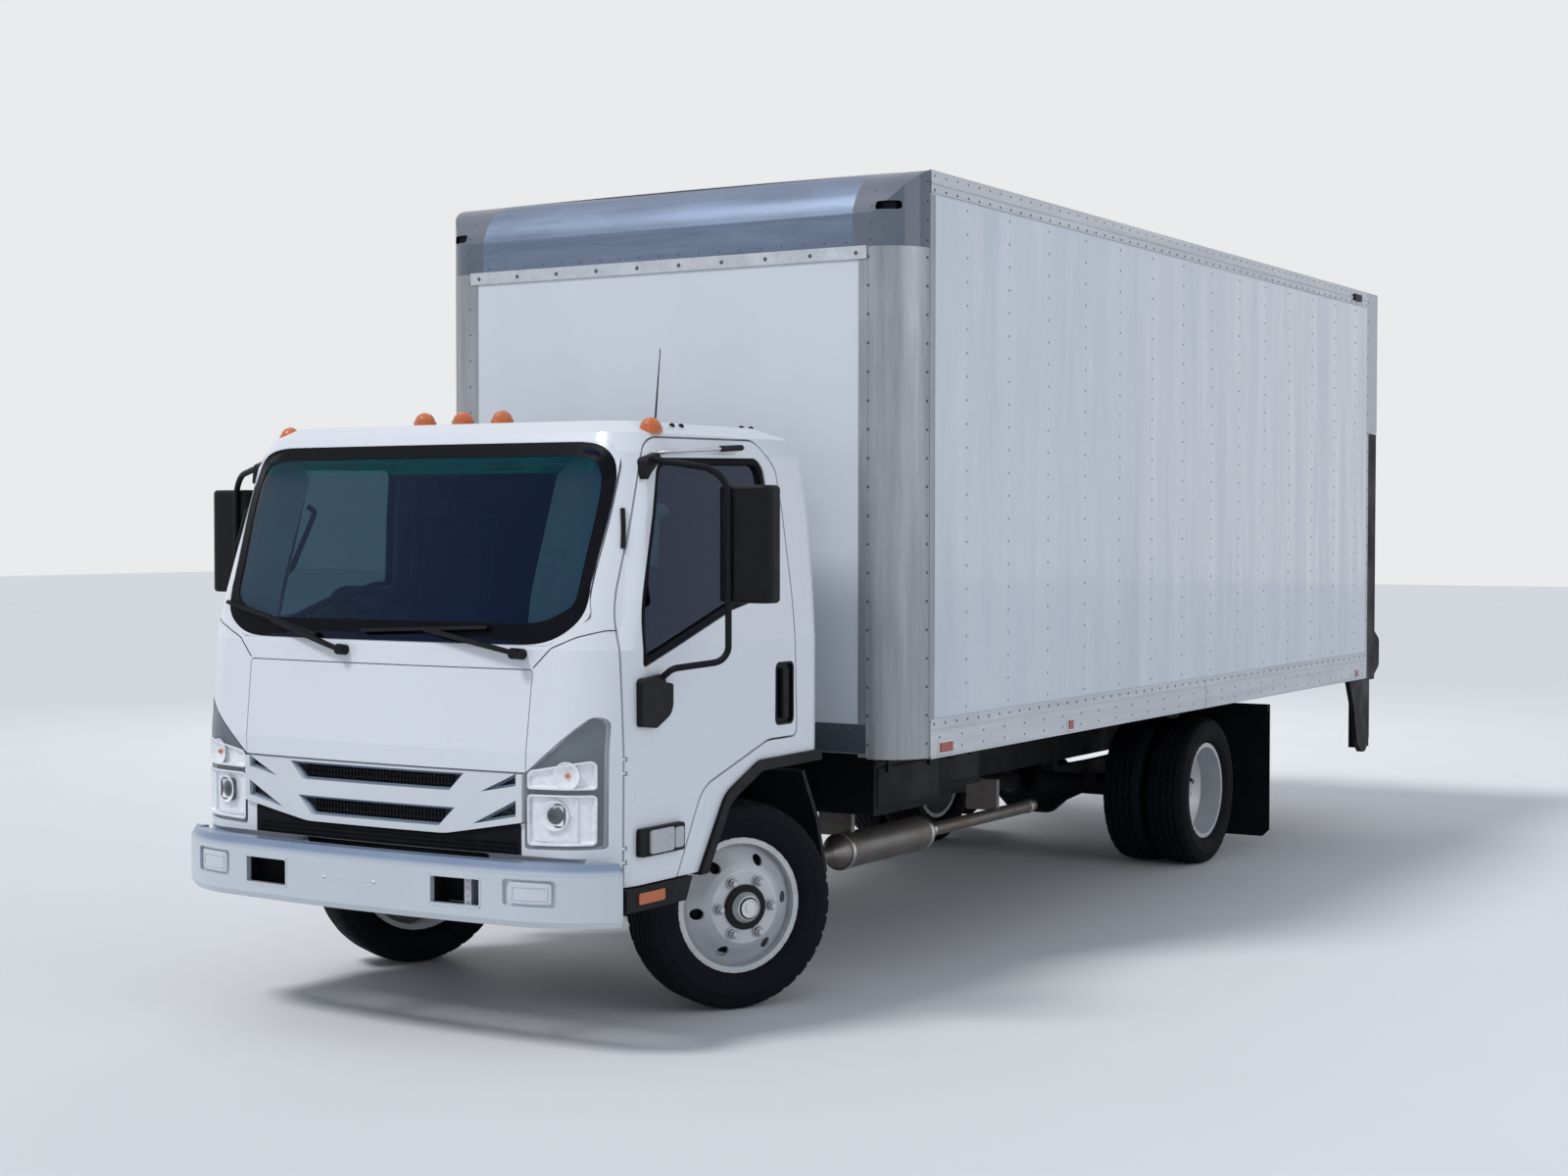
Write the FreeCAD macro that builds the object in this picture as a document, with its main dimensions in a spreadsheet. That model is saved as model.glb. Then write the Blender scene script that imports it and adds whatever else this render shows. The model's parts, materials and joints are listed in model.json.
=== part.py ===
import FreeCAD, Part
import math
import os
import re
from types import SimpleNamespace
from FreeCAD import Placement, Rotation, Vector

# A low-cab-forward box truck with a dry-freight van body and a rail lift gate.
# Front towards -Y, the vehicle's left +X, up +Z, origin on the ground under the middle of the truck.
# Heights are above the ground, and lengths along the truck are from the front axle unless said otherwise.

doc = FreeCAD.newDocument("box_truck")
sheet = doc.addObject("Spreadsheet::Sheet", "sizes")

SIZES = [
    # Whole vehicle
    ("overall_length", 8280, "bumper to lift gate"),
    ("front_overhang", 1240, "bumper to front axle"),
    ("wheelbase", 4470, "front axle to rear axle"),
    # Wheels and tyres
    ("tyre_radius", 400, "tyre outer radius"),
    ("tyre_width", 226, "tyre section width"),
    ("bead_radius", 248, "rim seat radius"),
    ("flange_radius", 260, "rim flange radius"),
    ("rim_width", 168, "over the rim flanges"),
    ("rim_wall", 10, "rim and disc thickness"),
    ("wheel_offset", 127, "disc face to rim centre plane"),
    ("rear_track", 1650, "between the centres of the twin wheels"),
    ("hub_radius", 83, "hub pilot radius"),
    ("front_hub_bore", 50, "bearing seat of the front hub"),
    ("rear_hub_bore", 68, "bearing seat of the rear hub"),
    ("bolt_circle", 222.25, "wheel bolt circle diameter"),
    ("bolt_count", 6, "wheel nuts"),
    ("hand_hole_circle", 186, "hand hole centre radius"),
    ("hand_hole_radius", 22, "hand hole radius"),
    # Steering
    ("kingpin_x", 763, "kingpin from the centre line"),
    ("kingpin_offset", 80, "kingpin to wheel centre plane"),
    ("kingpin_radius", 16, "kingpin"),
    ("kingpin_boss", 42, "axle eye radius"),
    ("kingpin_boss_height", 96, "axle eye height"),
    ("steer_angle", 29.5, "front wheels turned to the vehicle's right"),
    ("steer_arm_back", 150, "tie rod behind the kingpin"),
    ("tie_rod_height", 290, "tie rod centre height"),
    ("tie_rod_radius", 17, "tie rod"),
    ("column_radius", 12, "steering column shaft"),
    ("joint_gap", 6, "running gap between moving pieces"),
    ("seat_gap", 0.3, "clearance of a shaft in its seat"),
    # Frame
    ("frame_width", 850, "over the rails"),
    ("frame_top", 800, "top of the rails"),
    ("rail_height", 216, "rail depth"),
    ("rail_flange", 70, "rail flange"),
    ("rail_wall", 8, "rail thickness"),
    ("rail_front", 1025, "rail front end ahead of the front axle"),
    ("rail_rear", 6560, "rail rear end behind the front axle"),
    ("crossmember_width", 70, "crossmember along the truck"),
    ("crossmember_height", 130, "crossmember depth"),
    # Cab
    ("cab_front", 1110, "cab face ahead of the front axle"),
    ("cab_rear", 375, "cab back behind the front axle"),
    ("cab_half_width", 1000, "half width at the belt"),
    ("cab_belt", 1420, "belt line height"),
    ("cab_sill", 590, "lower edge of the cab"),
    ("cab_roof", 2235, "roof edge height"),
    ("cab_wall", 50, "cab wall and door thickness"),
    ("cab_skin", 22, "front panel, lamp and grille thickness"),
    ("cab_floor", 1030, "cab floor height over the axle"),
    ("cab_floor_thickness", 40, "floor thickness"),
    ("footwell_floor", 700, "footwell floor height"),
    ("footwell_back", 560, "footwell back wall ahead of the front axle"),
    ("tunnel_half_width", 340, "engine tunnel inside half width"),
    ("tunnel_top", 1140, "engine tunnel inside height"),
    ("arch_top", 965, "wheel arch height"),
    ("door_seam", 8, "gap round the doors"),
    ("pillar_width", 42, "windscreen pillar between the door and the glass"),
    ("door_pin_radius", 4, "door hinge pin"),
    ("door_pin_depth", 5, "door hinge pin inside the skin and behind the seam"),
    ("door_pin_length", 60, "door hinge height"),
    ("seam", 4, "gap between fixed panels"),
    ("glass_thickness", 6, "glass thickness"),
    ("tilt_hinge_y", 1010, "cab hinge ahead of the front axle"),
    ("tilt_pin_radius", 20, "cab hinge pin"),
    ("tilt_boss_radius", 45, "cab hinge boss"),
    ("frame_clearance", 40, "room beside the rails under the cab"),
    ("bumper_top", 687, "bumper's upper edge"),
    ("bumper_bottom", 465, "bumper's lower edge"),
    ("tilt_hinge_z", 720, "cab hinge height"),
    # Van body
    ("body_front", 692, "van body front wall behind the front axle"),
    ("body_rear", 6730, "rear end of the side walls behind the front axle"),
    ("body_half_width", 1219, "half of 96 inches"),
    ("body_floor", 1030, "deck height"),
    ("body_bottom", 894, "lower edge of the bottom rails"),
    ("body_top", 3310, "top of the top rails"),
    ("roof_crown", 8, "roof rise at the centre line"),
    ("deck_thickness", 45, "deck thickness"),
    ("plank_rise", 4, "wood floor over the deck's steel edge"),
    ("plank_gap", 2, "wood floor to the wall posts"),
    ("skin_thickness", 5, "wall sheet"),
    ("post_depth", 34, "wall post depth"),
    ("post_width", 60, "wall post width"),
    ("post_pitch", 406.4, "wall post spacing"),
    ("first_post", 332, "first wall post behind the corner post"),
    ("bow_width", 30, "roof bow along the truck"),
    ("corner_radius", 190, "front corner radius"),
    ("corner_wall", 5, "corner post thickness"),
    ("nose_bottom", 2990, "lower edge of the curved nose"),
    ("nose_cap_width", 260, "corner cap width from the side"),
    ("header_rail", 50, "rail under the nose"),
    ("top_rail_height", 94, "top rail height"),
    ("bottom_rail_height", 161, "bottom rail height"),
    ("rail_skin", 4, "body rail thickness"),
    ("rail_lip", 30, "top rail flange over the roof's edge"),
    ("rear_frame_depth", 40, "rear frame along the truck"),
    ("rear_post_width", 90, "rear frame post width"),
    ("rear_header", 210, "rear header height"),
    ("rear_hood_depth", 210, "upper rear post depth over the lift columns"),
    ("door_panel_height", 400, "roll-up door panel"),
    ("door_panel_thickness", 24, "roll-up door panel"),
    # Lift gate
    ("column_width", 80, "lift column across the truck"),
    ("column_depth", 160, "lift column along the truck"),
    ("column_wall", 8, "lift column thickness"),
    ("column_top", 2430, "lift column top"),
    ("column_bottom", 450, "lift column bottom"),
    ("column_slot", 90, "slot for the runner neck"),
    ("cover_thickness", 34, "side cover outside the column"),
    ("runner_height", 940, "runner in the column"),
    ("lift_bar", 76, "lift cross bar"),
    ("lift_bar_bottom", 940, "lift cross bar lower face at bed height"),
    ("platform_length", 1350, "platform from hinge to tip"),
    ("platform_thickness", 42, "platform"),
    ("platform_half_width", 1040, "platform half width"),
    ("hinge_radius", 20, "platform hinge"),
]

for row, (alias, value, meaning) in enumerate(SIZES, 1):
    sheet.set(f"A{row}", meaning)
    sheet.set(f"B{row}", str(value))
    sheet.setAlias(f"B{row}", alias)
doc.recompute()
s = SimpleNamespace(**{alias: float(sheet.get(alias)) for alias, value, meaning in SIZES})

X, Y, Z = Vector(1, 0, 0), Vector(0, 1, 0), Vector(0, 0, 1)
FRONT_AXLE = -s.overall_length / 2 + s.front_overhang
REAR_AXLE = FRONT_AXLE + s.wheelbase
AXLE_Z = s.tyre_radius
SIDES = (("left", 1), ("right", -1))
FRONT_AXLE_EX = "(front_overhang - overall_length / 2)"


def sized(text):
    """An expression with each alias read from the sheet."""
    names = {alias for alias, value, meaning in SIZES}
    return re.sub(r"[a-z_]+", lambda found: "sizes." + found[0] if found[0] in names else found[0], text)


def bind(thing, **expressions):
    """Bind properties of an object to the sheet."""
    for name, text in expressions.items():
        thing.setExpression(name, sized(text))


def block(name, size, corner):
    """A box whose three sizes and lowest corner are expressions."""
    thing = doc.addObject("Part::Box", name)
    bind(thing, Length=size[0], Width=size[1], Height=size[2])
    for axis, text in zip("xyz", corner):
        thing.setExpression(".Placement.Base." + axis, sized(text))
    return thing


def rod(name, radius, length, start, direction):
    """A cylinder whose radius and length are expressions, from a start point along a direction."""
    thing = doc.addObject("Part::Cylinder", name)
    bind(thing, Radius=radius, Height=length)
    thing.Placement = Placement(start, Rotation(Z, direction))
    return thing


def fused(name, things):
    """One piece made of several that touch."""
    whole = doc.addObject("Part::MultiFuse", name)
    whole.Shapes = things
    whole.Refine = True
    return whole


def outline(points):
    """Closed run of lines; a point given as (u, v, radius) is rounded with an arc."""
    corners = [Vector(point[0], point[1], 0) for point in points]
    radii = [point[2] if len(point) > 2 else 0 for point in points]
    count = len(corners)
    starts, ends, arcs = [], [], []
    for index in range(count):
        here, radius = corners[index], radii[index]
        back = (corners[index - 1] - here).normalize()
        ahead = (corners[(index + 1) % count] - here).normalize()
        if radius <= 0:
            starts.append(here)
            ends.append(here)
            arcs.append(None)
            continue
        half = back.getAngle(ahead) / 2
        reach = radius / math.tan(half)
        middle = here + (back + ahead).normalize() * (radius / math.sin(half) - radius)
        starts.append(here + back * reach)
        ends.append(here + ahead * reach)
        arcs.append(Part.Arc(starts[-1], middle, ends[-1]))
    curves = []
    for index in range(count):
        if arcs[index]:
            curves.append(arcs[index])
        follow = starts[(index + 1) % count]
        if ends[index].distanceToPoint(follow) > 1e-6:
            curves.append(Part.LineSegment(ends[index], follow))
    return curves


PLANE_TURN = {
    "XY": Rotation(),
    "XZ": Rotation(X, 90),
    "YZ": Rotation(Vector(1, 1, 1), 120),
}


def profile_face(plane, points, offset=0.0):
    """A flat face from an outline in one of the three main planes, moved along the plane's normal."""
    wire = Part.Wire([curve.toShape() for curve in outline(points)])
    face = Part.Face(wire)
    normal = {"XY": Z, "XZ": Y, "YZ": X}[plane]
    face.Placement = Placement(normal * offset, PLANE_TURN[plane])
    return face


def prism(plane, points, start, end):
    """An outline carried from start to end along the plane's normal."""
    normal = {"XY": Z, "XZ": Y, "YZ": X}[plane]
    return profile_face(plane, points, start).extrude(normal * (end - start))


def cuboid(low, high):
    """A box shape between two corners."""
    size = [b - a for a, b in zip(low, high)]
    return Part.makeBox(size[0], size[1], size[2], Vector(*low))


def flip(point):
    """The same point on the other side of the truck."""
    return Vector(-point.x, point.y, point.z)


def mirrored(shape):
    """The same shape on the other side of the truck."""
    return shape.mirror(Vector(0, 0, 0), X)


def on_side(shape, sign):
    """A shape made for the left, or its mirror image."""
    return shape if sign > 0 else mirrored(shape)


def feature(name, shape):
    """A piece whose shape is made by Part's own functions."""
    thing = doc.addObject("Part::Feature", name)
    thing.Shape = shape
    return thing


def body(name):
    """An empty PartDesign body."""
    thing = doc.addObject("PartDesign::Body", name)
    thing.AllowCompound = True
    return thing


def sketch(owner, name, role, outlines, offset=0.0):
    """A sketch of closed outlines on one of the body's own planes."""
    drawing = owner.newObject("Sketcher::SketchObject", name)
    plane = next(item for item in owner.Origin.OriginFeatures if item.Role == role)
    drawing.AttachmentSupport = (plane, [""])
    drawing.MapMode = "FlatFace"
    drawing.AttachmentOffset = Placement(Vector(0, 0, offset), Rotation())
    for curves in outlines:
        drawing.addGeometry(curves, False)
    return drawing


def pad(owner, name, drawing, length, reverse=False):
    """A pad whose length is an expression."""
    step = owner.newObject("PartDesign::Pad", name)
    step.Profile = drawing
    step.setExpression("Length", sized(length))
    step.Reversed = reverse
    return step


def revolve(owner, name, drawing):
    """A full turn about the sketch's own horizontal axis."""
    step = owner.newObject("PartDesign::Revolution", name)
    step.Profile = drawing
    step.ReferenceAxis = (drawing, ["H_Axis"])
    step.Angle = 360
    return step


def along_y(owner, name, points, start, length):
    """An outline seen from behind, padded rearwards from start."""
    drawing = sketch(owner, name + "_sketch", "XZ_Plane", [outline(points)], -start)
    return pad(owner, name, drawing, length, reverse=True)


def along_x(owner, name, points, start, length):
    """An outline seen from the side, padded towards the left from start."""
    drawing = sketch(owner, name + "_sketch", "YZ_Plane", [outline(points)], start)
    return pad(owner, name, drawing, length)


def along_z(owner, name, points, start, length):
    """An outline seen from above, padded upwards from start."""
    drawing = sketch(owner, name + "_sketch", "XY_Plane", [outline(points)], start)
    return pad(owner, name, drawing, length)


def rectangle(u_low, v_low, u_high, v_high):
    return [(u_low, v_low), (u_high, v_low), (u_high, v_high), (u_low, v_high)]


def at_axle(points):
    """Side-view points with their lengths measured from the front axle."""
    return [(point[0] + FRONT_AXLE,) + tuple(point[1:]) for point in points]


# Frame

RAIL_BOTTOM = s.frame_top - s.rail_height
CROSSMEMBERS = (960, -1400, -2750, -3750, -5150, -6480)


def ladder_frame():
    """Two channel rails joined by crossmembers."""
    parts = []
    half = s.frame_width / 2
    for side, sign in SIDES:
        rail = body("rail_" + side)
        points = [
            (sign * half, RAIL_BOTTOM),
            (sign * half, s.frame_top),
            (sign * (half - s.rail_flange), s.frame_top),
            (sign * (half - s.rail_flange), s.frame_top - s.rail_wall),
            (sign * (half - s.rail_wall), s.frame_top - s.rail_wall),
            (sign * (half - s.rail_wall), RAIL_BOTTOM + s.rail_wall),
            (sign * (half - s.rail_flange), RAIL_BOTTOM + s.rail_wall),
            (sign * (half - s.rail_flange), RAIL_BOTTOM),
        ]
        along_y(rail, "rail_pad_" + side, points, FRONT_AXLE - s.rail_front, "rail_front + rail_rear")
        parts.append(rail)
    middle = "(frame_top - rail_height / 2 + 32 - crossmember_height / 2)"
    for index, ahead in enumerate(CROSSMEMBERS):
        place = f"{FRONT_AXLE_EX} - {ahead} - crossmember_width / 2"
        size = ("frame_width - 2 * rail_wall", "crossmember_width", "crossmember_height")
        parts.append(block(f"crossmember_{index}", size, ("rail_wall - frame_width / 2", place, middle)))
    for side, sign in SIDES:
        hinge = Vector(sign * half, FRONT_AXLE - s.tilt_hinge_y, s.tilt_hinge_z)
        parts.append(rod("cab_pin_" + side, "tilt_pin_radius", "frame_clearance + cab_floor_thickness - 2", hinge,
                         X * sign))
        edge = f"{sign} * (frame_width / 2 + 4) - 4"
        parts.append(block("cab_pin_plate_" + side, ("8", "160", "70"),
                           (edge, FRONT_AXLE_EX + " - tilt_hinge_y - 25", "tilt_hinge_z - 35")))
        edge = f"{sign} * (frame_width / 2 - rail_flange / 2) - rail_flange / 2"
        rise = "cab_floor - cab_floor_thickness - seat_gap - frame_top"
        parts.append(block("cab_post_" + side, ("rail_flange", "90", rise),
                           (edge, FRONT_AXLE_EX + " + cab_rear - 150", "frame_top")))
    return fused("ladder_frame", parts)


def engine_block():
    """One plain block on two mounts that stand on the rails' webs."""
    engine = block("engine", ("600", "580", "600"), ("-300", FRONT_AXLE_EX + " - 400", "500"))
    inside = "(frame_width - 2 * rail_wall)"
    mounts = block("engine_mounts", (inside, "90", "60"), (f"-{inside} / 2", FRONT_AXLE_EX + " - 120", "640"))
    return fused("engine_block", [engine, mounts])


def radiator():
    """Radiator core between the rails, hung from their upper flanges."""
    core = block("radiator_core", ("700", "80", "370"), ("-350", FRONT_AXLE_EX + " - 860", "600"))
    ears = block("radiator_ears", ("frame_width - 30", "50", "30"),
                 ("15 - frame_width / 2", FRONT_AXLE_EX + " - 845", "frame_top"))
    return fused("radiator", [core, ears])


PINION_REACH = 300
PINION_RISE = 20


def driveline():
    """Gearbox and the shaft to the rear axle's pinion."""
    gearbox = [(-2720, 0), (-2720, 190, 20), (-2450, 150), (-2050, 105), (-1900, 90), (-1900, 0)]
    owner = body("driveline")
    height = 625
    drawing = sketch(owner, "gearbox_sketch", "YZ_Plane", [outline(gearbox)])
    revolve(owner, "gearbox", drawing)
    owner.Placement = Placement(Vector(0, 0, height), Rotation())
    nose = Vector(0, REAR_AXLE - PINION_REACH, AXLE_Z + PINION_RISE)
    start = Vector(0, -1900, height)
    run = nose - Y * 12 - start
    shaft = rod("propeller_shaft", "45", str(run.Length), start, run)
    yoke = rod("shaft_yoke", "58", "24", nose - Y * 24, Y)
    owner.Label = "gearbox"
    whole = fused("driveline_whole", [owner, shaft, yoke])
    whole.Label = "driveline"
    return whole


def exhaust():
    """Muffler under the left rail with its pipes and hangers."""
    x, z = 550, 410
    pipe = 32
    points = [(-1700, 0), (-1700, pipe), (-1600, 80), (-840, 80), (-760, pipe), (380, pipe), (380, 0)]
    owner = body("muffler")
    revolve(owner, "exhaust_turn", sketch(owner, "exhaust_sketch", "YZ_Plane", [outline(points)]))
    hanger_points = [(-1520, 60), (-1490, 60), (-1490, RAIL_BOTTOM - z), (-1520, RAIL_BOTTOM - z)]
    rear_points = [(-60, 20), (-30, 20), (-30, RAIL_BOTTOM - z), (-60, RAIL_BOTTOM - z)]
    reach = x - s.frame_width / 2
    along_x(owner, "hanger_front", hanger_points, -reach - 30, "170")
    along_x(owner, "hanger_rear", rear_points, -reach - 30, "170")
    owner.Placement = Placement(Vector(x, 0, z), Rotation())
    engine_rear = FRONT_AXLE + 180
    down = feature("down_pipe", tube([(250, engine_rear, 530), (250, engine_rear + 560, 530, 100),
                                      (x, engine_rear + 660, z, 100), (x, -1700, z)], pipe))
    return fused("exhaust", [owner, down])


def fuel_tank():
    """Rounded tank hung on the right rail."""
    owner = body("fuel_tank")
    outer = -s.frame_width / 2
    along_x(owner, "tank_pad", [(-900, 470, 60), (420, 470, 60), (420, 850, 60), (-900, 850, 60)],
            outer - 385, "380")
    for index, y in enumerate((-700, -240, 220)):
        along_x(owner, f"tank_bracket_{index}", rectangle(y - 30, 600, y + 30, 780), outer - 8, "8")
    return owner


def battery_box():
    """Boxes on the left rail behind the cab."""
    owner = body("battery_box")
    outer = s.frame_width / 2
    along_x(owner, "box_pad", [(-1745, 600, 15), (-1120, 600, 15), (-1120, 880, 15), (-1745, 880, 15)],
            outer, "380")
    along_x(owner, "box_pad_rear", [(-1060, 640, 15), (-620, 640, 15), (-620, 880, 15), (-1060, 880, 15)],
            outer, "330")
    return owner


# Axles and springs

def front_axle():
    """Forged beam dropped between the springs, with an eye and a kingpin at each end."""
    owner = body("front_axle_beam")
    eye = s.kingpin_x - s.kingpin_boss * 0.8
    points = [
        (-eye, AXLE_Z - 30), (-620, AXLE_Z - 30, 60), (-500, 300, 60), (500, 300, 60), (620, AXLE_Z - 30, 60),
        (eye, AXLE_Z - 30), (eye, AXLE_Z + 30), (600, AXLE_Z + 30, 60), (480, 372, 60),
        (-480, 372, 60), (-600, AXLE_Z + 30, 60), (-eye, AXLE_Z + 30),
    ]
    along_y(owner, "beam_pad", points, FRONT_AXLE - 38, "76")
    parts = [owner]
    for side, sign in SIDES:
        at = Vector(sign * s.kingpin_x, FRONT_AXLE, AXLE_Z - s.kingpin_boss_height / 2)
        parts.append(rod("axle_eye_" + side, "kingpin_boss", "kingpin_boss_height", at, Z))
        at = at - Z * 40
        parts.append(rod("kingpin_" + side, "kingpin_radius", "kingpin_boss_height + 80", at, Z))
        seat = block("front_seat_" + side, ("70", "120", "88"),
                     (f"{sign * 385 - 35}", FRONT_AXLE_EX + " - 60", "372"))
        parts.append(seat)
    return fused("front_axle", parts)


def rear_axle():
    """Axle tube with its differential housing and spring seats."""
    owner = body("rear_axle_casing")
    seat = s.rear_hub_bore - s.seat_gap
    points = [
        (-870, 0), (-870, seat), (-670, seat), (-660, 62), (-300, 62), (-200, 110, 60), (-110, 185, 70),
        (110, 185, 70), (200, 110, 60), (300, 62), (660, 62), (670, seat), (870, seat), (870, 0),
    ]
    revolve(owner, "casing_turn", sketch(owner, "casing_sketch", "XZ_Plane", [outline(points)]))
    owner.Placement = Placement(Vector(0, REAR_AXLE, AXLE_Z), Rotation())
    pinion = Vector(0, REAR_AXLE - PINION_REACH, AXLE_Z + PINION_RISE)
    parts = [owner, rod("pinion_nose", "78", str(PINION_REACH - 120), pinion, Y)]
    for side, sign in SIDES:
        place = f"{FRONT_AXLE_EX} + wheelbase - 70"
        parts.append(block("rear_seat_" + side, ("70", "140", "70"), (f"{sign * 385 - 35}", place, "tyre_radius")))
    return fused("rear_axle", parts)


def leaf(owner, name, centre_y, seat_z, end_z, reach, thick, x):
    """One spring seen from the side: a thin strip that thickens to its middle, with two hangers."""
    tip = 14
    top = Part.Arc(Vector(centre_y - reach, end_z + tip, 0), Vector(centre_y, seat_z + thick, 0),
                   Vector(centre_y + reach, end_z + tip, 0))
    low = Part.Arc(Vector(centre_y + reach, end_z, 0), Vector(centre_y, seat_z, 0),
                   Vector(centre_y - reach, end_z, 0))
    ends = [
        Part.LineSegment(Vector(centre_y - reach, end_z, 0), Vector(centre_y - reach, end_z + tip, 0)),
        Part.LineSegment(Vector(centre_y + reach, end_z + tip, 0), Vector(centre_y + reach, end_z, 0)),
    ]
    drawing = sketch(owner, name + "_sketch", "YZ_Plane", [[top, low] + ends], x - 35)
    pad(owner, name, drawing, "70")
    for index, end in enumerate((-1, 1)):
        y = centre_y + end * (reach - 20)
        along_x(owner, f"{name}_hanger_{index}", rectangle(y - 35, end_z + 2, y + 35, RAIL_BOTTOM), x - 35, "70")


def leaf_springs():
    """Four leaf springs under the rails."""
    owner = body("leaf_springs")
    for side, sign in SIDES:
        leaf(owner, "front_leaf_" + side, FRONT_AXLE, 460, 540, 590, 50, sign * 385)
        leaf(owner, "rear_leaf_" + side, REAR_AXLE, 470, 540, 640, 70, sign * 385)
    return owner


# Front bumper and guards

def bumper_outline(inset, open_back):
    """Closed plan: bowed face, two turned ends and a straight back."""
    front = -s.overall_length / 2 + inset
    side = 1030 - inset
    back = FRONT_AXLE - open_back
    shoulder = Vector(640, front + 30, 0)
    corner = Vector(930 - inset * 0.7, front + 118, 0)
    end = Vector(side, front + 205, 0)
    nose = Vector(0, front, 0)
    return [
        Part.Arc(flip(shoulder), nose, shoulder),
        Part.Arc(shoulder, corner, end),
        Part.LineSegment(end, Vector(side, back, 0)),
        Part.LineSegment(Vector(side, back, 0), Vector(-side, back, 0)),
        Part.LineSegment(Vector(-side, back, 0), flip(end)),
        Part.Arc(flip(end), flip(corner), flip(shoulder)),
    ]


BUMPER_LIP = 36


def bumper_form(open_back):
    """The bumper's closed form with its bevelled upper and lower edges."""
    low, high = s.bumper_bottom, s.bumper_top
    wires = []
    for z, bevel in ((low, 10), (low + 22, 0), (high - BUMPER_LIP, 0), (high, 14)):
        wire = Part.Wire([curve.toShape() for curve in bumper_outline(bevel, open_back)])
        wire.translate(Z * z)
        wires.append(wire)
    return Part.makeLoft(wires, True, True)


def front_bumper():
    """Pressed bumper with two tow openings and two covered lamp recesses, on two brackets."""
    low, high, wall = s.bumper_bottom, s.bumper_top, 14
    depth = 70
    outer = bumper_form(1020)
    hollow = Part.Face(Part.Wire([c.toShape() for c in bumper_outline(wall, 900)]))
    hollow = hollow.extrude(Z * (high - BUMPER_LIP - low - 22))
    hollow.translate(Z * (low + 22))
    trim = Part.Face(Part.Wire([c.toShape() for c in bumper_outline(depth, 880)])).extrude(Z * 400)
    trim.translate(Z * (low - 50))
    swing = FRONT_AXLE - s.tilt_hinge_y - 72
    room = cuboid((-950, swing, s.cab_sill + 60), (950, 0, s.frame_top))
    shape = outer.cut([hollow, trim, room])
    for side, sign in SIDES:
        x_low, x_high = sorted((sign * 340, sign * 560))
        shape = shape.cut(cuboid((x_low, -5000, 520), (x_high, FRONT_AXLE - 1100, 626)))
        x_low, x_high = sorted((sign * 650, sign * 850))
        shape = shape.cut(prism("XZ", [(x_low, 538, 15), (x_high, 538, 15), (x_high, 632, 15), (x_low, 632, 15)],
                                -5000, FRONT_AXLE - 1050))
        cover = Part.Face(Part.Wire([c.toShape() for c in bumper_outline(wall, 880)])).cut(
            Part.Face(Part.Wire([c.toShape() for c in bumper_outline(wall + 10, 870)])))
        cover = cover.extrude(Z * 120)
        cover.translate(Z * 525)
        cover = cover.common(cuboid((x_low - 14, -5000, 526), (x_high + 14, FRONT_AXLE - 1050, 644)))
        shape = shape.fuse(cover)
        arm_y = FRONT_AXLE - s.rail_front
        arm = prism("YZ", [(arm_y - 180, low + wall), (arm_y - 135, low + wall), (arm_y + 40, RAIL_BOTTOM - 24),
                           (arm_y + 130, RAIL_BOTTOM - 24), (arm_y + 130, RAIL_BOTTOM), (arm_y, RAIL_BOTTOM),
                           (arm_y - 20, RAIL_BOTTOM - 8)],
                    sign * (s.frame_width / 2 - s.rail_flange), sign * s.frame_width / 2)
        shape = shape.fuse(arm)
    return feature("front_bumper", shape.removeSplitter())


def front_mudguards():
    """Curved guards behind the front wheels, carried from the rails."""
    owner = body("front_mudguards")
    guard = at_axle([(293, 882), (312, 890), (420, 700), (496, 462), (476, 456), (400, 690)])
    for side, sign in SIDES:
        start = 620 if sign > 0 else -960
        along_x(owner, "guard_" + side, guard, start, "340")
        arm = at_axle([(340, 700), (402, 700), (372, 760), (330, 760)])
        start = s.frame_width / 2 if sign > 0 else -700
        along_x(owner, "guard_arm_" + side, arm, start, f"{700 - s.frame_width / 2}")
    return owner


def rear_mudflaps():
    """Rubber flaps behind the rear wheels on bars from the rails."""
    owner = body("rear_mudflaps")
    y = FRONT_AXLE + 5180
    for side, sign in SIDES:
        points = [(sign * 600, 830), (sign * 600, 120), (sign * 700, 120), (sign * 760, 70, 20),
                  (sign * 1110, 70, 20), (sign * 1150, 110), (sign * 1150, 830)]
        along_y(owner, "flap_" + side, points, y, "8")
        bar = rectangle(*sorted((sign * s.frame_width / 2, sign * 1150))[:1], 790,
                        *sorted((sign * s.frame_width / 2, sign * 1150))[1:], 830)
        along_y(owner, "flap_bar_" + side, bar, y - 40, "40")
    return owner


# Cab

# Levels of the cab's plan: height, half width, face at the corner start, corner start, where the corner
# meets the side, and the back, all lengths from the front axle.
CAB_LEVELS = [
    # z, half width, bow, face, corner start x, corner end, back
    (s.cab_sill, 994, 35, -1090, 770, -864, s.cab_rear),
    (1060, 998, 35, -1090, 770, -864, s.cab_rear),
    (s.cab_belt, s.cab_half_width, 32, -1048, 782, -830, s.cab_rear - 3),
    (1600, 990, 30, -995, 788, -795, s.cab_rear - 3),
    (1900, 962, 26, -903, 778, -715, s.cab_rear),
    (2120, 930, 24, -835, 768, -660, s.cab_rear - 5),
]
ROOF_LEVELS = [
    (2190, 900, 22, -795, 755, -630, s.cab_rear - 30),
    (s.cab_roof, 820, 18, -730, 700, -560, s.cab_rear - 180),
]


ROUND = math.sqrt(0.5)


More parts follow.
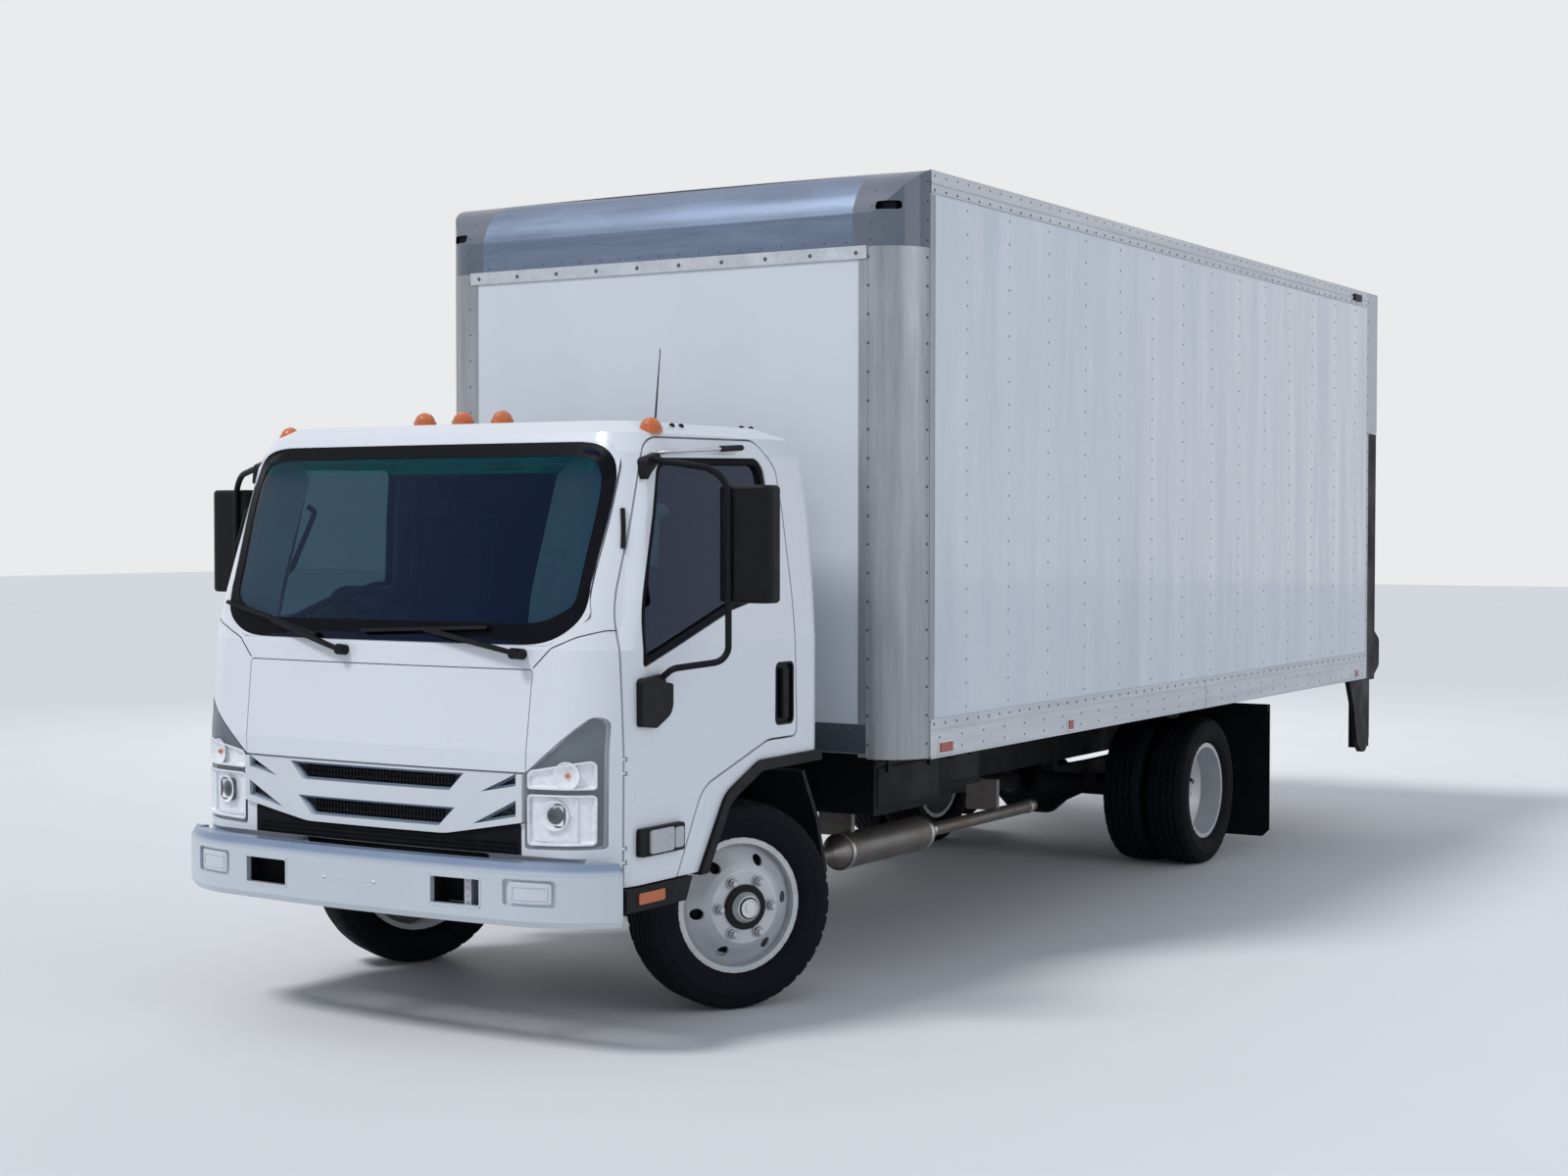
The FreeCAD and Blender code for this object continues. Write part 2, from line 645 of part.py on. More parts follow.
def plan_wire(level, inset, drop=0.0):
    """One plan of the cab as a wire, moved inwards by the inset."""
    height, half, bow, face, corner_x, corner_y, back = level
    half -= inset
    face += inset
    back -= inset
    rear_radius = 60
    front = FRONT_AXLE + face
    start = Vector(corner_x - inset * 0.4, front, height - drop)
    end = Vector(half, FRONT_AXLE + corner_y + inset * 0.4, height - drop)
    bend = Vector(start.x + (end.x - start.x) * ROUND, end.y - (end.y - start.y) * ROUND, height - drop)
    nose = Vector(0, front - bow, height - drop)
    side_back = Vector(half, FRONT_AXLE + back - rear_radius, height - drop)
    rear = Vector(half - rear_radius, FRONT_AXLE + back, height - drop)
    rear_bend = Vector(half - rear_radius * 0.29, FRONT_AXLE + back - rear_radius * 0.29, height - drop)
    curves = [
        Part.Arc(flip(start), nose, start),
        Part.Arc(start, bend, end),
        Part.LineSegment(end, side_back),
        Part.Arc(side_back, rear_bend, rear),
        Part.LineSegment(rear, flip(rear)),
        Part.Arc(flip(rear), flip(rear_bend), flip(side_back)),
        Part.LineSegment(flip(side_back), flip(end)),
        Part.Arc(flip(end), flip(bend), flip(start)),
    ]
    return Part.Wire([curve.toShape() for curve in curves])


def cab_form(inset):
    """The cab's closed form, moved inwards by the inset."""
    wires = [plan_wire(level, inset) for level in CAB_LEVELS]
    wires += [plan_wire(level, inset, inset) for level in ROOF_LEVELS]
    return Part.makeLoft(wires, True, True)


CAB_OUTER = cab_form(0)
CAB_MIDDLE = cab_form(s.cab_skin)
CAB_INNER = cab_form(s.cab_wall)
FAR = 3000

DOOR_FRONT = -943
DOOR = [
    (DOOR_FRONT, s.cab_sill), (DOOR_FRONT, 1560, 500), (-717, 2170, 110), (20, 2178, 90),
    (125, 2070, 60), (169, 1500), (189, 1040, 30), (-20, 1040, 200), (-475, 900, 160), (-640, s.cab_sill),
]
WINDOW = [
    (-853, 1352, 15), (-853, 1560, 500), (-672, 2100, 90), (40, 2114, 70), (75, 1588, 40), (-15, 1586, 60),
    (-261, 1540, 60),
]
WINDSCREEN = [
    (-727, 1432, 60), (727, 1432, 60), (932, 1568, 60), (866, 2156, 100), (-866, 2156, 100), (-932, 1568, 60),
]
REAR_WINDOW = [(-640, 1560, 70), (640, 1560, 70), (640, 1960, 70), (-640, 1960, 70)]
FLAP = [(-672, 1347, 12), (-666, 990), (666, 990), (672, 1347, 12)]
HEADLAMP = [(668, 725, 10), (948, 735, 10), (952, 1185, 25), (905, 1185, 40), (690, 1004), (668, 985)]
GRILLE = [(-662, 984), (-662, 815), (-330, 758, 300), (330, 758, 300), (662, 815), (662, 984)]
ARCH = [(-505, s.cab_sill - 10), (-326, 860, 150), (-89, s.arch_top, 120), (500, s.arch_top + 6), (500, 300),
        (-505, 300)]


def band(points, plane, start, end, amount=0.0):
    """A prism of an outline grown by an amount."""
    face = profile_face("XY", points)
    if amount:
        face = Part.Face(face.OuterWire.makeOffset2D(amount))
    normal = {"XY": Z, "XZ": Y, "YZ": X}[plane]
    face.Placement = Placement(normal * start, PLANE_TURN[plane])
    return face.extrude(normal * (end - start))


def flipped(points):
    """A front-view outline on the other side, in the same turning direction."""
    return [(-point[0],) + tuple(point[1:]) for point in reversed(points)]


def wheelhouse():
    """Room under the cab for the wheels, the frame and the engine."""
    arch = prism("YZ", at_axle(ARCH), -FAR, FAR)
    side = s.frame_width / 2 + s.frame_clearance
    centre = cuboid((-side, FRONT_AXLE - s.rail_front - 30, 0),
                    (side, 0, s.cab_floor - s.cab_floor_thickness))
    tunnel = cuboid((-s.tunnel_half_width, FRONT_AXLE - 460, 0), (s.tunnel_half_width, 0, s.tunnel_top))
    return arch.fuse([centre, tunnel])


def cabin_room():
    """The room inside the cab above its floor, its footwells and the engine cover."""
    wall = s.cab_floor_thickness
    floor = cuboid((-FAR, -6000, s.cab_floor), (FAR, 0, FAR))
    edge = s.frame_width / 2 + s.frame_clearance + wall
    shapes = []
    for sign in (-1, 1):
        x_low, x_high = sorted((sign * edge, sign * FAR))
        shapes.append(cuboid((x_low, -6000, s.footwell_floor), (x_high, FRONT_AXLE - s.footwell_back, s.cab_floor + 5)))
    room = CAB_INNER.common(floor.fuse(shapes))
    hump = cuboid((-s.tunnel_half_width - wall, FRONT_AXLE - 460 - wall, 0),
                  (s.tunnel_half_width + wall, 0, s.tunnel_top + wall))
    return room.cut(hump)


ROOM = cabin_room()


def cab_walls():
    """The cab's walls, floor and roof before they are split into panels."""
    return CAB_OUTER.cut([ROOM, wheelhouse()])


WALLS = cab_walls()


ROOF_SIDE = s.cab_half_width - 125
ROOF_START = 2080


def roof_middle(amount):
    """The part of the cab's roof that the doors leave alone, so that they can swing."""
    half = ROOF_SIDE - amount
    return cuboid((-half, -6000, ROOF_START), (half, 0, FAR))


WALL_LAYER = CAB_OUTER.cut([CAB_INNER, roof_middle(0)])
DOOR_POCKET = CAB_OUTER.cut([cab_form(s.cab_wall + s.door_seam), roof_middle(s.door_seam)])


def side_band(points, sign, amount=0.0):
    """A side-view outline carried through one side of the cab."""
    return band(at_axle(points), "YZ", sign * 600, sign * 1300, amount)


def beside_doors(amount):
    """The two door outlines grown by an amount, to be taken from the panels round the front corners."""
    return [side_band(DOOR, sign, amount) for side, sign in SIDES]


def hinge_point(sign):
    """Door hinge axis: just inside the skin and just behind the front seam, where the plan is constant."""
    half, bow, face, corner_x, corner_y = CAB_LEVELS[0][1:6]
    start, end = Vector(corner_x, face, 0), Vector(half, corner_y, 0)
    bend = Vector(start.x + (end.x - start.x) * ROUND, end.y - (end.y - start.y) * ROUND, 0)
    corner = Part.Arc(start, bend, end).toShape().Curve
    y = DOOR_FRONT + s.door_pin_depth
    reach = corner.Radius - s.door_pin_depth
    x = corner.Center.x + math.sqrt(reach ** 2 - (y - corner.Center.y) ** 2)
    slope = math.degrees(math.asin((corner.Center.y - y) / reach))
    return Vector(sign * x, y + FRONT_AXLE, 0), -sign * slope


HINGE_LEVELS = (672, 985)
TAB = 10


def hinge_pins(sign):
    """Pins in the door seam, each held by two tabs from the pillar."""
    at, turn = hinge_point(sign)
    pieces = []
    for z in HINGE_LEVELS:
        pin = Part.makeCylinder(s.door_pin_radius, s.door_pin_length, at + Z * z)
        tabs = []
        for low in (0, s.door_pin_length - TAB):
            tab = Part.makeBox(8, 34, TAB, Vector(-4, -34, 0))
            tab.Placement = Placement(at + Z * (z + low), Rotation(Z, turn))
            tabs.append(tab)
        pieces.append(pin.fuse(tabs))
    return pieces


def hinge_room(sign):
    """What is cut from the door for its pins and tabs."""
    at, turn = hinge_point(sign)
    clear = 3
    pieces = []
    for z in HINGE_LEVELS:
        radius = s.door_pin_radius + s.seat_gap
        pieces.append(Part.makeCylinder(radius, s.door_pin_length + 2 * clear, at + Z * (z - clear)))
        for low in (-clear, s.door_pin_length - TAB - clear):
            x_low, x_high = sorted((at.x - sign * 16, at.x + sign * 40))
            pieces.append(cuboid((x_low, at.y - 40, z + low), (x_high, at.y + 8, z + low + TAB + 2 * clear)))
    return pieces


def tilt_axis(sign, start, length, radius):
    """A cylinder on the cab's tilt axis, from a distance beside the frame outwards."""
    at = Vector(sign * (s.frame_width / 2 + start), FRONT_AXLE - s.tilt_hinge_y, s.tilt_hinge_z)
    return Part.makeCylinder(radius, length, at, X * sign)


def front_band(points, amount=0.0):
    """A front-view outline carried through the cab's face."""
    return band(points, "XZ", FRONT_AXLE - 1300, FRONT_AXLE - 500, amount)


def skin_layer(outer_inset, inner_inset):
    """The layer of the cab between two insets."""
    outer = CAB_OUTER if outer_inset == 0 else cab_form(outer_inset)
    inner = CAB_MIDDLE if inner_inset == s.cab_skin else cab_form(inner_inset)
    return outer.cut(inner)


SKIN = skin_layer(0, s.cab_skin)


def cab_shell():
    """Floor, pillars, roof and back of the cab, with every door, window and front panel cut out."""
    cuts = [DOOR_POCKET.common(piece) for piece in beside_doors(s.door_seam)]
    cuts.append(front_band(WINDSCREEN).cut(beside_doors(s.door_seam + s.pillar_width)))
    cuts.append(band(REAR_WINDOW, "XZ", FRONT_AXLE + 100, FRONT_AXLE + 500))
    lower_edge = s.bumper_top + 10
    sill_front = FRONT_AXLE + DOOR_FRONT - s.door_seam
    cuts.append(cuboid((-FAR, -6000, 0), (FAR, FRONT_AXLE - s.rail_front - 25, lower_edge)))
    cuts.append(cuboid((-FAR, -6000, 0), (FAR, sill_front, s.footwell_floor - s.cab_floor_thickness)))
    shape = WALLS.cut(cuts)
    face_cuts = [front_band(FLAP, s.seam), front_band(GRILLE, s.seam)]
    face_cuts += [front_band(HEADLAMP, s.seam), front_band(flipped(HEADLAMP), s.seam)]
    shape = shape.cut([SKIN.common(piece) for piece in face_cuts])
    hinges = []
    for side, sign in SIDES:
        hinges += [tilt_axis(sign, 15, s.frame_clearance + s.cab_floor_thickness - 15, s.tilt_boss_radius)]
        hinges += hinge_pins(sign)
    shape = shape.fuse(hinges)
    holes = [tilt_axis(sign, 0, 120, s.tilt_pin_radius + s.seat_gap) for side, sign in SIDES]
    return feature("cab_shell", shape.cut(holes))


def windscreen():
    layer = skin_layer(4, 4 + s.glass_thickness)
    shape = layer.common(front_band(WINDSCREEN)).cut(beside_doors(s.door_seam + s.pillar_width))
    return feature("windscreen", shape)


def rear_window():
    layer = skin_layer(20, 20 + s.glass_thickness)
    return feature("rear_window", layer.common(band(REAR_WINDOW, "XZ", FRONT_AXLE + 100, FRONT_AXLE + 500)))


def front_panel():
    return feature("front_panel", SKIN.common(front_band(FLAP)))


OPENINGS = [
    [(-415, 977), (-350, 912, 15), (350, 912, 15), (415, 977)],
    [(-375, 852), (-303, 783, 15), (303, 783, 15), (375, 852)],
    [(489, 916), (637, 943), (637, 986)],
    [(454, 800), (637, 835), (637, 892)],
]


def grille():
    """Three bars joined by slanted ends, one frame cut through to the mesh."""
    layer = skin_layer(-14, s.cab_skin)
    shape = layer.common(front_band(GRILLE))
    outlines = OPENINGS + [flipped(points) for points in OPENINGS[2:]]
    shape = shape.cut([front_band(points) for points in outlines])
    return feature("grille", shape)


def grille_mesh():
    """Dark backing seen between the bars."""
    layer = skin_layer(s.cab_skin - 6, s.cab_skin)
    outlines = OPENINGS + [flipped(points) for points in OPENINGS[2:]]
    return feature("grille_mesh", Part.makeCompound([layer.common(front_band(points)) for points in outlines]))


def headlamps():
    layer = skin_layer(-4, s.cab_skin)
    beside = beside_doors(s.door_seam + s.seam)
    pair = [layer.common(front_band(points)).cut(beside) for points in (HEADLAMP, flipped(HEADLAMP))]
    return feature("headlamps", Part.makeCompound(pair))


HANDLE = [(36, 1090, 22), (164, 1090, 22), (164, 1326, 22), (36, 1326, 22)]
HANDLE_DEPTH = 14


def door(side, sign):
    """The whole door, as thick as the cab's wall, with its window and its handle's pocket cut."""
    shape = WALL_LAYER.common(side_band(DOOR, 1))
    pocket = skin_layer(-1, HANDLE_DEPTH).common(side_band(HANDLE, 1))
    shape = shape.cut([side_band(WINDOW, 1), pocket] + hinge_room(1))
    return feature("door_" + side, on_side(shape, sign))


def door_glass(side, sign):
    layer = skin_layer(20, 20 + s.glass_thickness)
    return feature(f"door_{side}_glass", on_side(layer.common(side_band(WINDOW, 1)), sign))


def tube(points, radius):
    """A bent tube along straight runs with rounded corners, given as (x, y, z, bend radius)."""
    corners = [Vector(*point[:3]) for point in points]
    edges = []
    start = corners[0]
    for index in range(1, len(corners) - 1):
        here = corners[index]
        back = (corners[index - 1] - here).normalize()
        ahead = (corners[index + 1] - here).normalize()
        bend = points[index][3]
        half = back.getAngle(ahead) / 2
        reach = bend / math.tan(half)
        middle = here + (back + ahead).normalize() * (bend / math.sin(half) - bend)
        edges.append(Part.LineSegment(start, here + back * reach).toShape())
        edges.append(Part.Arc(here + back * reach, middle, here + ahead * reach).toShape())
        start = here + ahead * reach
    edges.append(Part.LineSegment(start, corners[-1]).toShape())
    path = Part.Wire(edges)
    first = (corners[1] - corners[0]).normalize()
    ring = Part.Wire(Part.Circle(corners[0], first, radius).toShape())
    return path.makePipeShell([ring], True, False)


MIRROR_FOOT = [
    (-889, 1150, 12), (-889, 1318, 20), (-745, 1330, 15), (-745, 1300), (-697, 1292, 10), (-697, 1190, 60),
    (-800, 1140, 30),
]
MIRROR_TOP = [(-772, 2005, 8), (-762, 2095, 20), (-680, 2122, 15), (-680, 2088, 15), (-735, 2045, 20)]


def mirror(side, sign):
    """Door mirror: a bent tube from a lower to an upper bracket, with a tall head across the truck behind it."""
    a = FRONT_AXLE
    skin = s.cab_half_width
    bar_x, bar_y = skin + 200, a - 612
    low, high = 1375, 2050
    arm = tube([(skin - 14, a - 760, 1295, 0), (skin + 60, a - 760, low - 25, 40), (bar_x, bar_y, low, 60),
                (bar_x, bar_y, high, 110), (skin - 65, a - 730, high + 45, 0)], 12)
    face, back = bar_y + 8, bar_y + 100
    plan = [(bar_x - 60, face, 42), (bar_x + 160, face, 42), (bar_x + 160, back, 14), (bar_x - 60, back, 14)]
    head = prism("XY", plan, 1580, 2000)
    head = head.makeFillet(16, [edge for edge in head.Edges if edge.BoundBox.ZLength < 1])
    foot = prism("YZ", at_axle(MIRROR_FOOT), skin - 14, skin + 22)
    top = prism("YZ", at_axle(MIRROR_TOP), skin - 110, skin - 45)
    shape = arm.fuse([head, foot, top]).cut(CAB_OUTER)
    return feature("mirror_" + side, on_side(shape, sign))


def roof_lamps():
    """Five domed lamps on the roof's front edge."""
    lamps = []
    for x, ahead, z in ((-878, 632, 2190), (-189, 620, 2232), (0, 620, 2232), (189, 620, 2232), (878, 632, 2190)):
        base = Part.makeCylinder(44, 22, Vector(x, FRONT_AXLE - ahead, z))
        dome = Part.makeSphere(40, Vector(x, FRONT_AXLE - ahead, z + 18), Z, 0, 90, 360)
        lamps.append(base.fuse(dome).cut(CAB_OUTER))
    return feature("roof_lamps", Part.makeCompound(lamps))


def dashboard():
    """Dashboard across the cab behind the face, short of the doors' swing."""
    points = [(-1060, 1060), (-1060, 1440), (-900, 1440, 60), (-700, 1330, 50), (-720, 1150, 50), (-900, 1060)]
    end = s.cab_half_width - 125
    shape = prism("YZ", at_axle(points), -end, end)
    cover = Part.makeCylinder(42, 420, Vector(0, 0, -480))
    bore = Part.makeCylinder(s.column_radius + s.seat_gap, 130, Vector(0, 0, -180))
    cover, bore = cover.cut(bore), Part.makeCylinder(42, 120, Vector(0, 0, -180))
    for piece in (cover, bore):
        piece.Placement = STEERING_PLACE
    shape = shape.cut(bore).fuse(cover).common(ROOM)
    return feature("dashboard", shape)


def seats():
    """Driver's seat and a wider passenger seat, each a base, a cushion, a back and a headrest."""
    a = FRONT_AXLE
    floor = s.cab_floor
    chairs = []
    for x_low, x_high in ((-860, -400), (400, 860)):
        middle = (x_low + x_high) / 2
        base = prism("YZ", [(a - 400, floor), (a - 400, 1170), (a + 20, 1170), (a + 20, floor)], x_low, x_high)
        cushion = prism("YZ", [(a - 460, 1170, 40), (a - 460, 1310, 50), (a - 60, 1290, 30), (a - 20, 1170, 20)],
                        x_low, x_high)
        back = prism("YZ", [(a - 60, 1170, 20), (a - 60, 1300, 20), (a + 60, 1950, 50), (a + 170, 1940, 50),
                            (a + 60, 1170, 30)], x_low, x_high)
        head = prism("YZ", [(a + 70, 1935, 10), (a + 80, 2080, 40), (a + 165, 2080, 40), (a + 155, 1935, 10)],
                     middle - 140, middle + 140)
        chairs.append(base.fuse([cushion, back, head]).common(ROOM))
    return feature("seats", Part.makeCompound(chairs))


def arch_trims():
    """Black bands along the edge of each wheel arch and the step under each door."""
    a = FRONT_AXLE
    outer = prism("YZ", at_axle(ARCH), 940, 1012)
    ring = band(at_axle(ARCH), "YZ", 940, 1012, -42).cut(cuboid((0, a - 2000, 0), (FAR, a - 505, s.cab_sill)))
    strip = outer.cut(ring).common(cuboid((0, a - 900, s.cab_sill - 10),
                                                         (FAR, a + s.cab_rear - 12, 2000)))
    top = s.cab_sill - s.joint_gap
    step = prism("YZ", [(a - 962, 500, 10), (a - 590, 500, 10), (a - 548, top), (a - 962, top)], 850, 1004)
    neck = cuboid((850, a - 900, top), (885, a - 620, s.cab_sill))
    step = step.fuse(neck)
    shapes = [strip, step, mirrored(strip), mirrored(step)]
    return feature("arch_trims", Part.makeCompound(shapes))


# Wipers in the front view: pivot, arm's end, and the blade's two ends.
WIPERS = [
    ((-184, 1396), (-560, 1498), (-330, 1450), (-851, 1560)),
    ((627, 1404), (200, 1483), (469, 1494), (-108, 1470)),
]


def strip(start, end, width):
    """A thin rectangle round a line of the front view."""
    low, high = Vector(*start, 0), Vector(*end, 0)
    across = (high - low).cross(Z).normalize() * (width / 2)
    return [(point.x, point.y) for point in (low + across, high + across, high - across, low - across)]


def wipers():
    """Two wipers parked along the foot of the windscreen, each a pivot, an arm and a blade."""
    arm_layer, blade_layer = skin_layer(-34, -18), skin_layer(-20, 2)
    pair = []
    for pivot, elbow, blade_start, blade_end in WIPERS:
        foot = Part.makeCylinder(20, 82, Vector(pivot[0], FRONT_AXLE - 1040, pivot[1] - 4), Vector(0, -1, 0.1))
        arm = arm_layer.common(front_band(strip(pivot, elbow, 16)))
        blade = blade_layer.common(front_band(strip(blade_start, blade_end, 12)))
        pair.append(foot.cut(CAB_OUTER).fuse([arm, blade]))
    return feature("wipers", Part.makeCompound(pair))


# Wheels

def tyre_profile():
    """Half of a road tyre's section, as radius over distance from its middle plane."""
    half = s.tyre_width / 2
    seat = s.rim_width / 2 - s.rim_wall
    return [
        (-seat, s.bead_radius), (-seat, s.flange_radius + 4, 6), (-half, s.bead_radius + 72, 50),
        (-half + 10, s.tyre_radius - 14, 22), (-40, s.tyre_radius), (40, s.tyre_radius),
        (half - 10, s.tyre_radius - 14, 22), (half, s.bead_radius + 72, 50), (seat, s.flange_radius + 4, 6),
        (seat, s.bead_radius),
    ]


def tyre(name, centres, placement):
    """One or two tyres turned about the wheel's axis, which is the sketch's horizontal axis."""
    owner = body(name)
    for index, centre in enumerate(centres):
        points = [(u + centre,) + tuple(rest) for u, *rest in tyre_profile()]
        revolve(owner, f"{name}_turn_{index}", sketch(owner, f"{name}_sketch_{index}", "XZ_Plane", [outline(points)]))
    owner.Placement = placement
    return owner


def rim_profile(centre, sign):
    """Rim and dished disc in one section; sign is the side of the rim's middle that the disc's face is on."""
    half = s.rim_width / 2
    wall = s.rim_wall
    seat = s.bead_radius
    inside = seat - wall
    foot = 34
    face = s.wheel_offset
    points = [
        (-half, s.flange_radius), (-half + wall, s.flange_radius), (-half + wall, seat),
        (half - wall, seat), (half - wall, s.flange_radius), (half, s.flange_radius),
        (half, inside), (foot + wall, inside), (face - 18, 165, 20), (face, 140, 8), (face, s.hub_radius),
        (face - wall, s.hub_radius), (face - wall, 136, 8), (face - 18 - wall, 160, 20), (foot, inside),
        (-half, inside),
    ]
    return [(sign * u + centre,) + tuple(rest) for u, *rest in points]


def ring_holes(radius, circle_radius, count, start, end, turn=0.0):
    """Round holes on a circle about X, as cylinders."""
    holes = []
    for index in range(int(count)):
        angle = math.radians(turn + 360 * index / count)
        at = Vector(start, circle_radius * math.cos(angle), circle_radius * math.sin(angle))
        holes.append(Part.makeCylinder(radius, end - start, at, X))
    return holes


def turned(points):
    """A closed section turned about X."""
    face = profile_face("XZ", points)
    return face.revolve(Vector(0, 0, 0), X, 360)


def nuts(face, sign):
    """Wheel nuts standing on the disc's face."""
    found = []
    for index in range(int(s.bolt_count)):
        angle = 2 * math.pi * index / s.bolt_count
        at = Vector(face, s.bolt_circle / 2 * math.cos(angle), s.bolt_circle / 2 * math.sin(angle))
        hexagon = Part.makePolygon([at + Vector(0, 17 * math.cos(k * math.pi / 3), 17 * math.sin(k * math.pi / 3))
                                    for k in range(7)])
        nut = Part.Face(hexagon).extrude(X * sign * 20)
        stud = Part.makeCylinder(9, 34, at, X * sign)
        found.append(nut.fuse(stud))
    return found


def front_wheel(side, sign):
    """Steel wheel with its hub, built about its own axis with the outside towards +X."""
    shape = turned(rim_profile(0, 1))
    shape = shape.cut(ring_holes(s.hand_hole_radius, s.hand_hole_circle, 6, 0, 200, 6))
    bore = s.front_hub_bore
    hub = turned([(40, bore), (40, 95), (s.wheel_offset - s.rim_wall, 130), (s.wheel_offset - s.rim_wall, s.hub_radius),
                  (s.wheel_offset + 12, s.hub_radius, 4), (s.wheel_offset + 12, 60), (s.wheel_offset + 40, 46, 8),
                  (s.wheel_offset + 40, 0), (100, 0), (100, bore)])
    shape = shape.fuse([hub] + nuts(s.wheel_offset, 1))
    placement = steered(side, sign).multiply(Placement(Vector(sign * s.kingpin_offset, 0, 0), Rotation()))
    if sign < 0:
        placement = placement.multiply(Placement(Vector(), Rotation(Z, 180)))
    thing = feature("wheel_front_" + side, shape)
    thing.Placement = placement
    return thing


def steered(side, sign):
    """The steered frame at a kingpin, in wheel height."""
    return Placement(Vector(sign * s.kingpin_x, FRONT_AXLE, AXLE_Z), Rotation(Z, -s.steer_angle))


def front_tyre(side, sign):
    placement = steered(side, sign).multiply(Placement(Vector(sign * s.kingpin_offset, 0, 0), Rotation()))
    return tyre("tyre_front_" + side, [0], placement)


def rear_wheels(side, sign):
    """Twin steel wheels whose discs meet, with one hub, built with the outside towards +X."""
    outer = turned(rim_profile(s.wheel_offset, -1))
    inner = turned(rim_profile(-s.wheel_offset, 1))
    holes = ring_holes(s.hand_hole_radius, s.hand_hole_circle, 6, -80, 80, 6)
    bore = s.rear_hub_bore
    hub = turned([(-140, bore), (-140, 105), (-s.rim_wall, 130), (-s.rim_wall, s.hub_radius),
                  (s.rim_wall, s.hub_radius), (90, s.hub_radius, 6), (90, 60), (104, 56, 4), (104, 0), (70, 0),
                  (70, bore)])
    shape = outer.fuse(inner).cut(holes).fuse([hub] + nuts(s.rim_wall, 1))
    thing = feature("wheels_rear_" + side, shape)
    turn = Rotation() if sign > 0 else Rotation(Z, 180)
    thing.Placement = Placement(Vector(sign * s.rear_track / 2, REAR_AXLE, AXLE_Z), turn)
    return thing


def rear_tyres(side, sign):
    placement = Placement(Vector(sign * s.rear_track / 2, REAR_AXLE, AXLE_Z), Rotation())
    return tyre("tyres_rear_" + side, [-s.wheel_offset, s.wheel_offset], placement)


def knuckle(side, sign):
    """Forked knuckle round the axle eye, with its stub axle and steering arm."""
    gap = s.joint_gap
    half = s.kingpin_boss_height / 2
    lug = 26
    outer = s.kingpin_boss + gap
    web = cuboid((sign * outer if sign > 0 else sign * (outer + 26), -40, -half - gap - lug),
                 (sign * (outer + 26) if sign > 0 else sign * outer, 40, half + gap + lug))
    shapes = []
    for low in (half + gap, -half - gap - lug):
        plate = Part.makeCylinder(s.kingpin_boss, lug, Vector(0, 0, low))
        link = cuboid((min(0, sign * (outer + 10)), -s.kingpin_boss, low),
                      (max(0, sign * (outer + 10)), s.kingpin_boss, low + lug))
        shapes += [plate, link]
    start = outer + 20
    stub = Part.makeCylinder(s.front_hub_bore - s.seat_gap, s.kingpin_offset + 94 - start,
                             Vector(sign * start, 0, 0), X * sign)
    arm = prism("XY", [(-22, 20), (22, 20), (22, s.steer_arm_back + 22, 20), (-22, s.steer_arm_back + 22, 20)],
                -half - gap - lug, -half - gap)
    pin_low = s.tie_rod_height - AXLE_Z - 22
    pin = Part.makeCylinder(10, -half - gap - 10 - pin_low, Vector(0, s.steer_arm_back, pin_low))
    shape = web.fuse(shapes + [stub, arm, pin])
    shape = shape.cut(Part.makeCylinder(s.kingpin_radius + 0.5, 400, Vector(0, 0, -200)))
    thing = feature("knuckle_" + side, shape)
    thing.Placement = steered(side, sign)
    return thing


def tie_rod_ends():
    """The two steering arm ends as they stand."""
    ends = []
    for side, sign in SIDES:
        local = Vector(0, s.steer_arm_back, 0)
        at = steered(side, sign).multVec(local)
        ends.append(Vector(at.x, at.y, s.tie_rod_height))
    return ends


def tie_rod():
    """Rod between the steering arms, with an eye round each pin."""
    left, right = tie_rod_ends()
    run = right - left
    shape = Part.makeCylinder(s.tie_rod_radius, run.Length - 40, left + run * (20 / run.Length), run)
    eyes = [Part.makeCylinder(26, 36, end - Z * 18) for end in (left, right)]
    shape = shape.fuse(eyes)
    holes = [Part.makeCylinder(radius, 60, end - Z * 30) for end, radius in ((left, 10.5), (right, 13))]
    return feature("tie_rod", shape.cut(holes))


def steering_wheel():
    """Rim, hub and three spokes on a raked column."""
    rim = Part.makeTorus(200, 15)
    hub = Part.makeCylinder(58, 40, Vector(0, 0, -36))
    spokes = [cuboid((30, -16, -24), (196, 16, -8))]
    for turn in (120, 240):
        spoke = spokes[0].copy()
        spoke.rotate(Vector(), Z, turn)
        spokes.append(spoke)
    column = Part.makeCylinder(s.column_radius, 120, Vector(0, 0, -150))
    shape = rim.fuse([hub, column] + spokes)
    thing = feature("steering_wheel", shape)
    thing.Placement = STEERING_PLACE
    return thing


STEERING_PLACE = Placement(Vector(-420, FRONT_AXLE - 600, 1500), Rotation(X, -32))


# Van body

BODY_FRONT = FRONT_AXLE + s.body_front
BODY_REAR = FRONT_AXLE + s.body_rear
WALL_FRONT = BODY_FRONT + s.corner_radius
POSTS = int((s.body_rear - s.body_front - s.corner_radius - s.first_post) // s.post_pitch)


def post_y(index):
    """Middle of a wall post along the truck."""
    return WALL_FRONT + s.first_post + index * s.post_pitch


